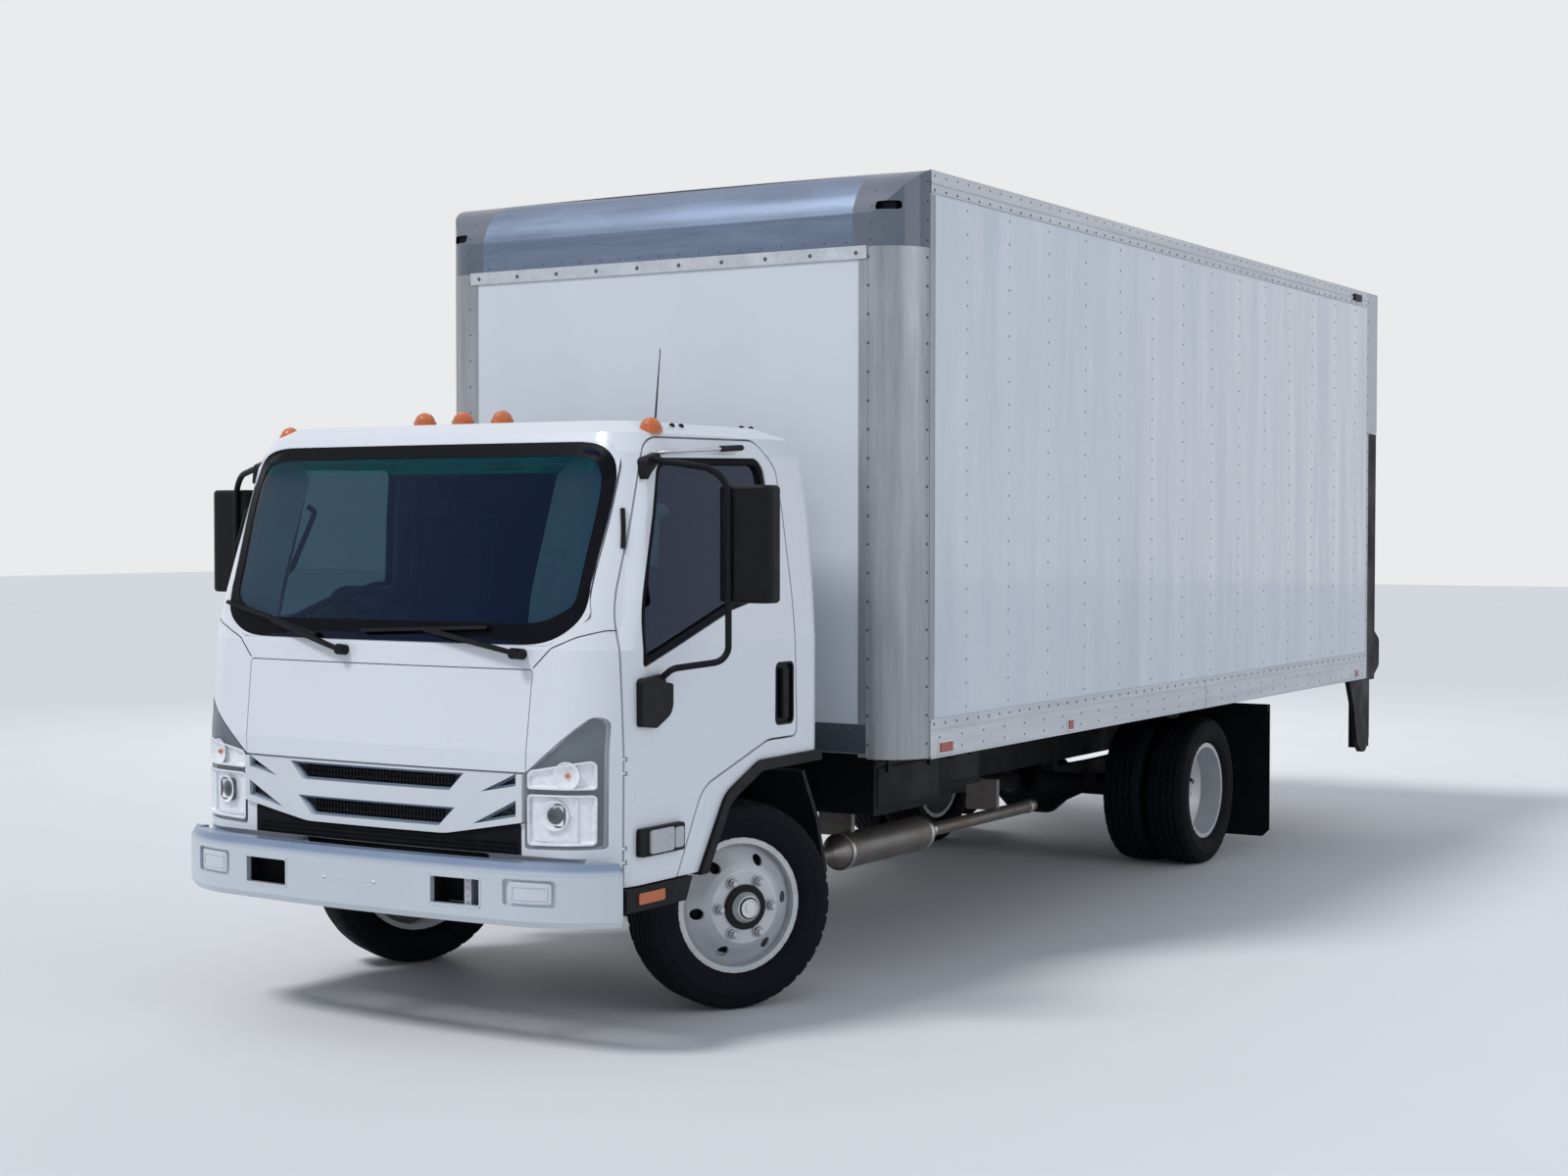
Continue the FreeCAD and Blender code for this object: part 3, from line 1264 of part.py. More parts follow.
def box_floor():
    """Deck with a wood floor between the wall posts, on bearers and two long sills that stand on the rails."""
    inside = s.body_half_width - s.corner_wall
    front = BODY_FRONT + s.skin_thickness
    radius = s.corner_radius - s.corner_wall
    deck = body("deck")
    plan = [(-inside, front, radius), (inside, front, radius), (inside, BODY_REAR), (-inside, BODY_REAR)]
    along_z(deck, "deck_pad", plan, s.body_floor - s.deck_thickness, "deck_thickness - plank_rise")
    edge = s.skin_thickness + s.post_depth + s.plank_gap
    inside, front, radius = s.body_half_width - edge, BODY_FRONT + edge, s.corner_radius - edge
    planks = [(-inside, front, radius), (inside, front, radius), (inside, BODY_REAR), (-inside, BODY_REAR)]
    along_z(deck, "plank_pad", planks, s.body_floor - s.plank_rise, "plank_rise")
    parts = [deck]
    low = "(body_bottom + rail_skin)"
    for index, y in enumerate([WALL_FRONT + 40] + [post_y(index) for index in range(POSTS + 1)]):
        size = ("2 * body_half_width", "50", f"body_floor - deck_thickness - {low}")
        parts.append(block(f"bearer_{index}", size, ("-body_half_width", f"{y - 25}", low)))
    for side, sign in SIDES:
        size = ("rail_flange", f"{FRONT_AXLE + s.rail_rear - BODY_FRONT - 60}", f"{low} - frame_top")
        x = f"{sign} * (frame_width / 2 - rail_flange / 2) - rail_flange / 2"
        parts.append(block("sill_" + side, size, (x, f"{BODY_FRONT + 40}", "frame_top")))
    return fused("box_floor", parts)


def box_side(side, sign):
    """Side sheet with its posts inside."""
    owner = body("box_side_" + side)
    outer = s.body_half_width
    low = s.body_floor - s.plank_rise
    high = s.body_top - s.rail_skin
    start = outer - s.skin_thickness if sign > 0 else -outer
    along_x(owner, f"side_sheet_{side}", rectangle(WALL_FRONT, low, BODY_REAR, high), start, "skin_thickness")
    start = outer - s.skin_thickness - s.post_depth if sign > 0 else -outer + s.skin_thickness
    for index in range(POSTS + 1):
        y = post_y(index)
        along_x(owner, f"side_post_{side}_{index}",
                rectangle(y - s.post_width / 2, low, y + s.post_width / 2, high - 20), start, "post_depth")
    return owner


def box_front_wall():
    """Front sheet with two posts inside and a dark skirt below."""
    owner = body("box_front_wall")
    half = s.body_half_width - s.corner_radius
    along_y(owner, "front_sheet", rectangle(-half, 920, half, s.nose_bottom), BODY_FRONT, "skin_thickness")
    for index, x in enumerate((-406, 0, 406)):
        low = s.body_floor - s.plank_rise
        along_y(owner, f"front_post_{index}", rectangle(x - 30, low, x + 30, s.nose_bottom - 20),
                BODY_FRONT + s.skin_thickness, "post_depth")
    return owner


def corner_plan(inset):
    """Quarter round of the front left corner in plan."""
    radius = s.corner_radius - inset
    centre = Vector(s.body_half_width - s.corner_radius, BODY_FRONT + s.corner_radius, 0)
    start = centre + Vector(0, -radius, 0)
    end = centre + Vector(radius, 0, 0)
    middle = centre + Vector(radius, -radius, 0) * math.sqrt(0.5)
    return start, middle, end


def box_corner_posts():
    """Quarter-round posts at the front corners."""
    owner = body("box_corner_posts")
    for side, sign in SIDES:
        outer = [Vector(sign * point.x, point.y, 0) for point in corner_plan(0)]
        inner = [Vector(sign * point.x, point.y, 0) for point in corner_plan(s.corner_wall)]
        curves = [Part.Arc(*outer), Part.LineSegment(outer[2], inner[2]),
                  Part.Arc(inner[2], inner[1], inner[0]), Part.LineSegment(inner[0], outer[0])]
        drawing = sketch(owner, "corner_sketch_" + side, "XY_Plane", [curves], 900)
        pad(owner, "corner_pad_" + side, drawing, "nose_bottom - 900")
    return owner


def nose_form(inset):
    """The rounded front end of the roof: the plan's round corners met by the nose's curve."""
    half = s.body_half_width - inset
    radius = s.corner_radius - inset
    front = BODY_FRONT + inset
    back = WALL_FRONT
    plan = prism("XY", [(-half, front, radius), (half, front, radius), (half, back), (-half, back)],
                 s.nose_bottom, s.body_top + 50)
    top = s.body_top - inset
    low = Vector(front, s.nose_bottom, 0)
    bend = Vector(front + radius * 0.2, s.nose_bottom + (top - s.nose_bottom) * 0.68, 0)
    high = Vector(back, top, 0)
    edges = [Part.Arc(low, bend, high), Part.LineSegment(high, Vector(back, s.nose_bottom, 0)),
             Part.LineSegment(Vector(back, s.nose_bottom, 0), low)]
    face = Part.Face(Part.Wire([edge.toShape() for edge in edges]))
    face.Placement = Placement(X * -FAR, PLANE_TURN["YZ"])
    return plan.common(face.extrude(X * 2 * FAR))


NOSE = nose_form(0).cut(nose_form(s.corner_wall))


def box_nose():
    """Curved sheet between the corner caps, with the rail under it."""
    half = s.body_half_width - s.nose_cap_width
    shape = NOSE.common(cuboid((-half, -9000, 0), (half, 9000, 9000)))
    flat = s.body_half_width - s.corner_radius
    rail = cuboid((-flat, BODY_FRONT - 5, s.nose_bottom - s.header_rail), (flat, BODY_FRONT, s.nose_bottom))
    return feature("box_nose", shape.fuse(rail))


def box_corner_caps():
    """Castings over the front upper corners, each with a lamp slot through it."""
    half = s.body_half_width - s.nose_cap_width
    slot_middle = s.body_half_width - s.corner_radius + 82
    caps = []
    for side, sign in SIDES:
        low, high = sorted((sign * half, sign * FAR))
        cap = NOSE.common(cuboid((low, -9000, 0), (high, 9000, 9000)))
        middle = sign * slot_middle
        slot = [(middle - 50, 3138, 12), (middle + 50, 3138, 12), (middle + 50, 3172, 12), (middle - 50, 3172, 12)]
        caps.append(cap.cut(prism("XZ", slot, BODY_FRONT - 50, WALL_FRONT)))
    return feature("box_corner_caps", Part.makeCompound(caps))


def box_roof():
    """Crowned roof sheet with its bows."""
    start = WALL_FRONT
    end = BODY_REAR
    half = s.body_half_width - s.rail_lip
    edge = s.body_top - s.rail_skin
    thick = 3
    arc_top = Part.Arc(Vector(-half, edge + thick, 0), Vector(0, edge + thick + s.roof_crown, 0),
                       Vector(half, edge + thick, 0))
    arc_low = Part.Arc(Vector(half, edge, 0), Vector(0, edge + s.roof_crown, 0), Vector(-half, edge, 0))
    sides = [Part.LineSegment(Vector(half, edge + thick, 0), Vector(half, edge, 0)),
             Part.LineSegment(Vector(-half, edge, 0), Vector(-half, edge + thick, 0))]
    owner = body("box_roof")
    drawing = sketch(owner, "roof_sketch", "XZ_Plane", [[arc_top, sides[0], arc_low, sides[1]]], -start)
    pad(owner, "roof_pad", drawing, f"{end - start}", reverse=True)
    bow = s.body_half_width - s.skin_thickness - s.post_depth
    low = edge - 45
    for index in range(1, POSTS, 2):
        lines = [Part.LineSegment(Vector(half, edge, 0), Vector(bow, edge, 0)),
                 Part.LineSegment(Vector(bow, edge, 0), Vector(bow, low, 0)),
                 Part.LineSegment(Vector(bow, low, 0), Vector(-bow, low, 0)),
                 Part.LineSegment(Vector(-bow, low, 0), Vector(-bow, edge, 0)),
                 Part.LineSegment(Vector(-bow, edge, 0), Vector(-half, edge, 0))]
        if bow >= half:
            lines = lines[1:-1]
        start = post_y(index) - s.bow_width / 2
        drawing = sketch(owner, f"bow_sketch_{index}", "XZ_Plane", [[arc_low] + lines], -start)
        pad(owner, f"bow_{index}", drawing, "bow_width", reverse=True)
    return owner


def box_rails():
    """Top and bottom rails along both sides."""
    owner = body("box_rails")
    outer = s.body_half_width
    skin = s.rail_skin
    for side, sign in SIDES:
        top = [(sign * outer, s.body_top - s.top_rail_height), (sign * (outer + skin), s.body_top - s.top_rail_height),
               (sign * (outer + skin), s.body_top), (sign * (outer - s.rail_lip), s.body_top),
               (sign * (outer - s.rail_lip), s.body_top - skin), (sign * outer, s.body_top - skin)]
        low = s.body_bottom
        bottom = [(sign * (outer - 40), low), (sign * (outer + skin + 2), low),
                  (sign * (outer + skin + 2), low + s.bottom_rail_height), (sign * outer, low + s.bottom_rail_height),
                  (sign * outer, low + skin), (sign * (outer - 40), low + skin)]
        length = f"{BODY_REAR - WALL_FRONT}"
        along_y(owner, "top_rail_" + side, top, WALL_FRONT, length)
        along_y(owner, "bottom_rail_" + side, bottom, WALL_FRONT, length)
    return owner


def box_rear_frame():
    """Rear posts, header and sill round the door opening."""
    owner = body("box_rear_frame")
    outer = s.body_half_width
    inner = outer - s.rear_post_width
    for side, sign in SIDES:
        low, high = sorted((sign * inner, sign * outer))
        along_y(owner, "rear_post_" + side, rectangle(low, s.body_bottom, high, s.body_top), BODY_REAR,
                "rear_frame_depth")
        along_y(owner, "rear_hood_" + side, rectangle(low, s.column_top + 4, high, s.body_top),
                BODY_REAR + s.rear_frame_depth, "rear_hood_depth - rear_frame_depth")
    along_y(owner, "rear_header", rectangle(-inner, s.body_top - s.rear_header, inner, s.body_top), BODY_REAR,
            "rear_frame_depth")
    along_y(owner, "rear_sill", rectangle(-inner, s.body_bottom, inner, s.body_floor), BODY_REAR,
            "rear_frame_depth")
    return owner


def box_rear_door():
    """Roll-up door of level panels, closed in the rear opening."""
    owner = body("box_rear_door")
    half = s.body_half_width - s.rear_post_width
    low = s.body_floor
    high = s.body_top - s.rear_header
    count = round((high - low) / s.door_panel_height)
    step = (high - low) / count
    for index in range(count):
        z = low + index * step
        along_y(owner, f"door_panel_{index}", rectangle(-half, z, half, z + step - 4), BODY_REAR + 12,
                "door_panel_thickness")
    along_y(owner, "door_backing", rectangle(-half, low, half, high), BODY_REAR + 6, "8")
    return owner


def box_lamps():
    """Side markers, front reflectors, roof corner lamps and tail lamps."""
    parts = []
    rail = s.body_half_width + s.rail_skin + 2
    for side, sign in SIDES:
        for y, half in ((2264 + FRONT_AXLE, 22), (6542 + FRONT_AXLE, 22), (1014 + FRONT_AXLE, 55)):
            low, high = sorted((sign * rail, sign * (rail + 8)))
            parts.append(cuboid((low, y - half, 915), (high, y + half, 955)))
        rear = BODY_REAR + s.rear_frame_depth
        low, high = sorted((sign * 620, sign * 900))
        parts.append(cuboid((low, rear, 920), (high, rear + 20, 1010)))
    return feature("box_lamps", Part.makeCompound(parts))


# Lift gate

COLUMN_FRONT = BODY_REAR + s.rear_frame_depth
COLUMN_MIDDLE = COLUMN_FRONT + s.column_depth / 2
COLUMN_OUTER = s.body_half_width - s.cover_thickness


def lift_columns():
    """Slotted columns with a cover and a tapered leg on the outside, and a bump plate behind."""
    shapes = []
    outer, width, wall = COLUMN_OUTER, s.column_width, s.column_wall
    front, depth = COLUMN_FRONT, s.column_depth
    slot = s.column_slot / 2
    middle = COLUMN_MIDDLE
    section = [
        (outer, front), (outer, front + depth), (outer - width, front + depth), (outer - width, middle + slot),
        (outer - width + wall, middle + slot), (outer - width + wall, front + depth - wall),
        (outer - wall, front + depth - wall), (outer - wall, front + wall), (outer - width + wall, front + wall),
        (outer - width + wall, middle - slot), (outer - width, middle - slot), (outer - width, front),
    ]
    column = prism("XY", section, s.column_bottom, s.column_top)
    cover = cuboid((outer, front, 880), (outer + s.cover_thickness, front + depth, s.column_top))
    leg = prism("YZ", [(front - 334, 894), (front - 236, 720), (front - 180, 510, 30), (front - 80, 432, 60),
                       (front + 0, 432, 60), (front + 70, 510, 30), (front + 70, 894)], outer, outer + 30)
    bump = prism("YZ", [(front + depth, 900), (front + depth + 110, 960, 40), (front + depth + 110, 1130, 40),
                        (front + depth, 1190)], outer, outer + 30)
    side = column.fuse([cover, leg, bump])
    shapes = [side, mirrored(side)]
    return feature("lift_columns", Part.makeCompound(shapes))


def lift_carriage():
    """Runners in the columns joined by the lift's cross bar, with the platform's hinge ears."""
    gap = s.joint_gap
    half_bar = s.lift_bar / 2
    inner = COLUMN_OUTER - s.column_width
    low = s.lift_bar_bottom
    runner_low = inner + s.column_wall + gap
    play = s.column_wall + s.seat_gap
    runner = cuboid((runner_low, COLUMN_FRONT + play, low),
                    (COLUMN_OUTER - s.column_wall - gap, COLUMN_FRONT + s.column_depth - play, low + s.runner_height))
    neck = cuboid((inner - 14, COLUMN_MIDDLE - half_bar, low), (runner_low + 4, COLUMN_MIDDLE + half_bar, low + 420))
    side = runner.fuse(neck)
    bar = cuboid((-inner + 14, COLUMN_MIDDLE - half_bar, low), (inner - 14, COLUMN_MIDDLE + half_bar, low + s.lift_bar))
    ears = []
    hinge = Vector(0, HINGE_Y, HINGE_Z)
    for x in (-820, -300, 300, 820):
        ear = prism("YZ", [(COLUMN_MIDDLE + half_bar - 4, low), (HINGE_Y, low), (HINGE_Y + 22, HINGE_Z - 10),
                           (HINGE_Y + 22, HINGE_Z + 22, 10), (HINGE_Y - 22, HINGE_Z + 22, 10),
                           (COLUMN_MIDDLE + half_bar - 4, low + s.lift_bar)], x - 20, x + 20)
        ears.append(ear)
    pins = [Part.makeCylinder(s.hinge_radius / 2, 100, Vector(x - 50, HINGE_Y, HINGE_Z), X)
            for x in (-820, -300, 300, 820)]
    shape = bar.fuse([side, mirrored(side)] + ears + pins)
    return feature("lift_carriage", shape)


HINGE_Y = COLUMN_FRONT + s.column_depth + 34
HINGE_Z = s.lift_bar_bottom + s.lift_bar / 2 + 10


def lift_platform():
    """Platform folded up behind the door, with knuckles between the ears."""
    half = s.platform_half_width
    y_low = HINGE_Y - s.platform_thickness / 2
    plate = prism("YZ", [(y_low, HINGE_Z + 40), (y_low + s.platform_thickness, HINGE_Z + 40),
                         (y_low + s.platform_thickness, HINGE_Z + s.platform_length - 160),
                         (y_low + 10, HINGE_Z + s.platform_length), (y_low, HINGE_Z + s.platform_length)], -half, half)
    shape = plate
    for x in (-820, -300, 300, 820):
        for offset in (-52, 28):
            knuckle_part = prism("YZ", [(HINGE_Y - 20, HINGE_Z - 20, 15), (HINGE_Y + 20, HINGE_Z - 20, 15),
                                        (HINGE_Y + 20, HINGE_Z + 42), (HINGE_Y - 20, HINGE_Z + 42)],
                                 x + offset, x + offset + 24)
            shape = shape.fuse(knuckle_part)
        shape = shape.cut(Part.makeCylinder(s.hinge_radius / 2 + 0.5, 160, Vector(x - 80, HINGE_Y, HINGE_Z), X))
    return feature("lift_platform", shape)


def build():
    """Every sub-part, in the order of the report."""
    parts = [
        ladder_frame(), engine_block(), driveline(), radiator(), exhaust(), fuel_tank(), battery_box(),
        front_axle(), rear_axle(), leaf_springs(), front_bumper(), front_mudguards(), rear_mudflaps(),
        cab_shell(), windscreen(), rear_window(), front_panel(), grille(), grille_mesh(), headlamps(),
        roof_lamps(), dashboard(), seats(), arch_trims(), wipers(), tie_rod(), steering_wheel(),
        box_floor(), box_front_wall(), box_corner_posts(), box_nose(), box_corner_caps(), box_roof(),
        box_rails(), box_rear_frame(), box_rear_door(), box_lamps(), lift_columns(), lift_carriage(),
        lift_platform(),
    ]
    for side, sign in SIDES:
        parts += [box_side(side, sign), door(side, sign), door_glass(side, sign), mirror(side, sign),
                  knuckle(side, sign), front_wheel(side, sign), front_tyre(side, sign),
                  rear_wheels(side, sign), rear_tyres(side, sign)]
    return parts


def check(parts):
    """Stop if any object failed or any sub-part's shape is empty or invalid."""
    doc.recompute()
    for thing in doc.Objects:
        if "Invalid" in thing.State or "Error" in thing.State:
            raise RuntimeError(f"{thing.Label} did not build")
    bad = [part.Label for part in parts
           if part.Shape.isNull() or not part.Shape.isValid() or not part.Shape.Solids]
    if bad:
        raise RuntimeError("no valid solid: " + ", ".join(bad))


PARTS = build()
check(PARTS)
os.makedirs("parts", exist_ok=True)
for part in PARTS:
    part.Shape.exportStep(f"parts/{part.Label}.step")
print(len(PARTS), "sub-parts")
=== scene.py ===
import json
import math

import bmesh
import bpy
from mathutils import Matrix, Vector
from mathutils.bvhtree import BVHTree

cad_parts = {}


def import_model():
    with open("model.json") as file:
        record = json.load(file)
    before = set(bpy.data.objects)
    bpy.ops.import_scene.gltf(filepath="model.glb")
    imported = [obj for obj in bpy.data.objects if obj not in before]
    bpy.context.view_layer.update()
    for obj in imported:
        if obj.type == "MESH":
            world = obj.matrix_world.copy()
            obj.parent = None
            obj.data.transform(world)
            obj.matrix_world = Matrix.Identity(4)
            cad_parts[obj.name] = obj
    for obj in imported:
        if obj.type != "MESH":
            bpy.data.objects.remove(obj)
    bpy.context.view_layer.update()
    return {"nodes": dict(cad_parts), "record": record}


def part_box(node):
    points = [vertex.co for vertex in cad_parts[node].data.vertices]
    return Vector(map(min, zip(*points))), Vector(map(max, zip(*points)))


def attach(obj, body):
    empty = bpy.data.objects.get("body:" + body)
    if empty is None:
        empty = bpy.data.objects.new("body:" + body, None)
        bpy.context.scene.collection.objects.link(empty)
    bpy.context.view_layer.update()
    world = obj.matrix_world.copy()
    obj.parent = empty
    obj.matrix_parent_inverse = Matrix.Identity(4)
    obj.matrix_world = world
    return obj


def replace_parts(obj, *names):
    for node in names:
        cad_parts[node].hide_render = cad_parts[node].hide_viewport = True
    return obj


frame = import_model()
NODES = frame["nodes"]
SIDES = (("left", 1), ("right", -1))
UP = Vector((0, 0, 1))
BACK = Vector((0, 1, 0))


def middle(node):
    low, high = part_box(node)
    return (low + high) / 2


FRONT_AXLE = middle("front_axle").y

# The van body's own planes
SIDE_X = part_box("box_side_left")[1].x
WALL_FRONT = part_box("box_side_left")[0].y
BODY_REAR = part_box("box_side_left")[1].y
BODY_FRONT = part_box("box_front_wall")[0].y
FLAT_HALF = SIDE_X - (WALL_FRONT - BODY_FRONT)
NOSE_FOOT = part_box("box_corner_posts")[1].z
RAIL_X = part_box("box_rails")[1].x
BODY_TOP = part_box("box_rails")[1].z
RAIL_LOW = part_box("box_rails")[0].z
FIRST_POST = 0.332
POST_COUNT = 14
POST_PITCH = 0.4064
RIVET_PITCH = 0.1016


# Outlines

CORNER_STEPS = 6
RIM_RAYS = 200
RIM_HALVINGS = 14


def circle(count):
    """Directions evenly round a circle."""
    return [(math.cos(2 * math.pi * k / count), math.sin(2 * math.pi * k / count)) for k in range(count)]


def span(low, high, pitch):
    """Even places from low to high, about a pitch apart."""
    count = max(1, round((high - low) / pitch))
    return [low + (high - low) * index / count for index in range(count + 1)]


def rounded(points):
    """Closed outline with rounded corners; a point is (u, v) or (u, v, radius)."""
    result = []
    for index, point in enumerate(points):
        here = Vector(point[:2])
        radius = point[2] if len(point) > 2 else 0
        back = (Vector(points[index - 1][:2]) - here).normalized()
        ahead = (Vector(points[(index + 1) % len(points)][:2]) - here).normalized()
        if radius <= 0:
            result.append(here)
            continue
        half = back.angle(ahead) / 2
        centre = here + (back + ahead).normalized() * (radius / math.sin(half))
        start = here + back * (radius / math.tan(half)) - centre
        end = here + ahead * (radius / math.tan(half)) - centre
        sweep = start.angle_signed(end)
        for step in range(CORNER_STEPS + 1):
            result.append(centre + Matrix.Rotation(-sweep * step / CORNER_STEPS, 2) @ start)
    return result


def split(outline, longest):
    """The same closed outline with its long edges divided."""
    result = []
    for start, end in zip(outline, outline[1:] + outline[:1]):
        parts = max(1, math.ceil((end - start).length / longest))
        result += [start.lerp(end, part / parts) for part in range(parts)]
    return result


def divided(points, longest):
    """A rounded outline with its long edges divided."""
    return split(rounded(points), longest)


def rectangle(u_low, v_low, u_high, v_high, radius, longest):
    """A rounded rectangle with its long edges divided."""
    return divided([(u_low, v_low, radius), (u_high, v_low, radius), (u_high, v_high, radius),
                    (u_low, v_high, radius)], longest)


def evened(outline, spacing):
    """The same closed outline with points an even distance apart."""
    ends = outline[1:] + outline[:1]
    lengths = [(a - b).length for a, b in zip(outline, ends)]
    total = sum(lengths)
    count = max(12, round(total / spacing))
    result = []
    index, passed = 0, 0.0
    for step in range(count):
        want = total * step / count
        while passed + lengths[index] < want:
            passed += lengths[index]
            index += 1
        share = (want - passed) / lengths[index] if lengths[index] else 0
        result.append(outline[index] + (ends[index] - outline[index]) * share)
    return result


def shrunk(outline, width):
    """A closed outline moved inwards; width is a length or a function of a point."""
    count = len(outline)
    area = sum(outline[i - 1].x * outline[i].y - outline[i].x * outline[i - 1].y for i in range(count))
    turn = 1 if area > 0 else -1
    result = []
    for index in range(count):
        run = (outline[(index + 1) % count] - outline[index - 1]).normalized()
        wide = width(outline[index]) if callable(width) else width
        result.append(outline[index] + Vector((-run.y, run.x)) * turn * wide)
    return result


def softened(outline, turns):
    """A closed outline with its corners worn down."""
    for turn in range(turns):
        outline = [(outline[i - 1] + outline[i] * 2 + outline[(i + 1) % len(outline)]) / 4
                   for i in range(len(outline))]
    return outline


def mirrored(outline, sign):
    return [Vector((sign * p.x, p.y)) for p in outline]


def found_rim(there, centre, reach, spacing):
    """The outline of a panel seen along one axis, where there(u, v) says whether the panel is met."""
    centre = Vector(centre)
    result = []
    for way in circle(RIM_RAYS):
        way = Vector(way)
        near, far = 0.0, reach
        for step in range(RIM_HALVINGS):
            half = (near + far) / 2
            if there(*(centre + way * half)):
                near = half
            else:
                far = half
        result.append(centre + way * near)
    return evened(result, spacing)


# Surfaces of the CAD nodes

def cast(*names):
    """A search tree over the named CAD nodes."""
    bm = bmesh.new()
    for name in names:
        mesh = NODES[name].data.copy()
        mesh.transform(NODES[name].matrix_world)
        bm.from_mesh(mesh)
        bpy.data.meshes.remove(mesh)
    tree = BVHTree.FromBMesh(bm)
    bm.free()
    return tree


def met_point(tree, start, way, out):
    """The point a ray meets, moved out along the surface's normal, or the nearest point where it misses."""
    hit = tree.ray_cast(start, way)
    if hit[0] is None:
        near = tree.find_nearest(start + way * 2)
        return near[0] + near[1] * out
    normal = hit[1] if hit[1].dot(way) < 0 else -hit[1]
    return hit[0] + normal * out


def before(x, z):
    """A place well ahead of the truck, where rays towards its front start."""
    return Vector((x, FRONT_AXLE - 3, z))


def front_point(tree, x, z, out=0.0):
    return met_point(tree, before(x, z), BACK, out)


def side_point(tree, y, z, sign, out=0.0):
    return met_point(tree, Vector((sign * 3, y, z)), Vector((-sign, 0, 0)), out)


def on_front(tree, shift=0.0):
    """A place function for sheets on a front face."""
    return lambda u, v, out: front_point(tree, u, v, out + shift)


def on_side(tree, sign):
    """A place function for sheets on a side face; u is the length along the truck."""
    return lambda u, v, out: side_point(tree, u, v, sign, out)


def front_rim(name, centre, spacing, reach):
    tree = cast(name)
    return tree, found_rim(lambda x, z: tree.ray_cast(before(x, z), BACK, 3.0)[0], centre, reach, spacing)


# Solid forms

def new_object(name, data):
    thing = bpy.data.objects.new(name, data)
    bpy.context.scene.collection.objects.link(thing)
    return thing


def mesh_from(bm, name, angle=35):
    """A mesh with its normals outwards, smooth up to an angle, or flat where that is None."""
    bmesh.ops.recalc_face_normals(bm, faces=bm.faces)
    mesh = bpy.data.meshes.new(name)
    bm.to_mesh(mesh)
    bm.free()
    if angle is not None:
        mesh.shade_smooth()
        mesh.set_sharp_from_angle(angle=math.radians(angle))
    return mesh


def link(name, mesh, body, material):
    """A new object that rides on a body and takes the given finish."""
    thing = new_object(name, mesh)
    thing.data.materials.append(material)
    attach(thing, body)
    return thing


def piece(name, bm, body, material, angle=35):
    return link(name, mesh_from(bm, name, angle), body, material)


def join_rings(bm, near, far):
    """Faces between two closed rings of as many points, or between a ring and one point."""
    for index in range(len(near)):
        follow = (index + 1) % len(near)
        ends = (far[follow], far[index]) if len(far) > 1 else (far[0],)
        bm.faces.new((near[index], near[follow], *ends))


def slab(outline, place, thickness, rings=6, bm=None):
    """A closed sheet over an outline: place(u, v, out) gives its points, rings run from the rim inwards."""
    bm = bm or bmesh.new()
    centre = sum(outline, Vector((0, 0))) / len(outline)
    layers = []
    for out in (thickness, 0.0):
        rows = []
        for ring in range(rings):
            share = 1 - ring / rings
            rows.append([bm.verts.new(place(*(centre + (point - centre) * share), out)) for point in outline])
        rows.append([bm.verts.new(place(*centre, out))])
        layers.append(rows)
    for rows in layers:
        for near, far in zip(rows, rows[1:]):
            join_rings(bm, near, far)
    join_rings(bm, layers[0][0], layers[1][0])
    return bm


def band(outer, inner, place, thickness, bm=None):
    """A closed frame between two outlines of as many points."""
    bm = bm or bmesh.new()
    rows = [[bm.verts.new(place(*point, out)) for point in ring]
            for ring, out in ((outer, 0.0), (outer, thickness), (inner, thickness), (inner, 0.0))]
    for near, far in zip(rows, rows[1:] + rows[:1]):
        join_rings(bm, near, far)
    return bm


def lathe(profile, steps, matrix, bm=None):
    """A section of (radius, height) points turned about the matrix's Z."""
    bm = bm or bmesh.new()
    rows = [[bm.verts.new(matrix @ Vector((radius * x, radius * y, height))) for radius, height in profile]
            for x, y in circle(steps)]
    for near, far in zip(rows, rows[1:] + rows[:1]):
        for index in range(len(profile) - 1):
            bm.faces.new((near[index], near[index + 1], far[index + 1], far[index]))
    bmesh.ops.remove_doubles(bm, verts=bm.verts, dist=1e-6)
    return bm


def frame_at(point, normal):
    """A matrix whose Z is the normal and whose X lies across it."""
    z = Vector(normal).normalized()
    x = UP.cross(z)
    if x.length < 1e-4:
        x = Vector((1, 0, 0))
    x.normalize()
    return Matrix.Translation(point) @ Matrix((x, z.cross(x), z)).transposed().to_4x4()


DOME = ((1.0, -0.15), (0.85, 0.55), (0.45, 0.95))


def add_dome(bm, point, normal, radius, height, sides=8):
    """A low rivet head on a surface."""
    matrix = frame_at(point, normal)
    rows = [[bm.verts.new(matrix @ Vector((radius * share * x, radius * share * y, height * rise)))
             for x, y in circle(sides)] for share, rise in DOME]
    rows.append([bm.verts.new(matrix @ Vector((0, 0, height)))])
    for near, far in zip(rows, rows[1:]):
        join_rings(bm, near, far)
    bm.faces.new(list(reversed(rows[0])))


def add_box(bm, start, end, bevel=0.0, segments=2):
    """A box between two opposite corners."""
    low, high = Vector(map(min, start, end)), Vector(map(max, start, end))
    made = bmesh.ops.create_cube(bm, size=1.0)["verts"]
    for vert in made:
        vert.co = Vector(c * d for c, d in zip(vert.co, high - low)) + (low + high) / 2
    if bevel:
        edges = list({edge for vert in made for edge in vert.link_edges})
        bmesh.ops.bevel(bm, geom=edges, offset=bevel, segments=segments, profile=0.6, affect="EDGES")


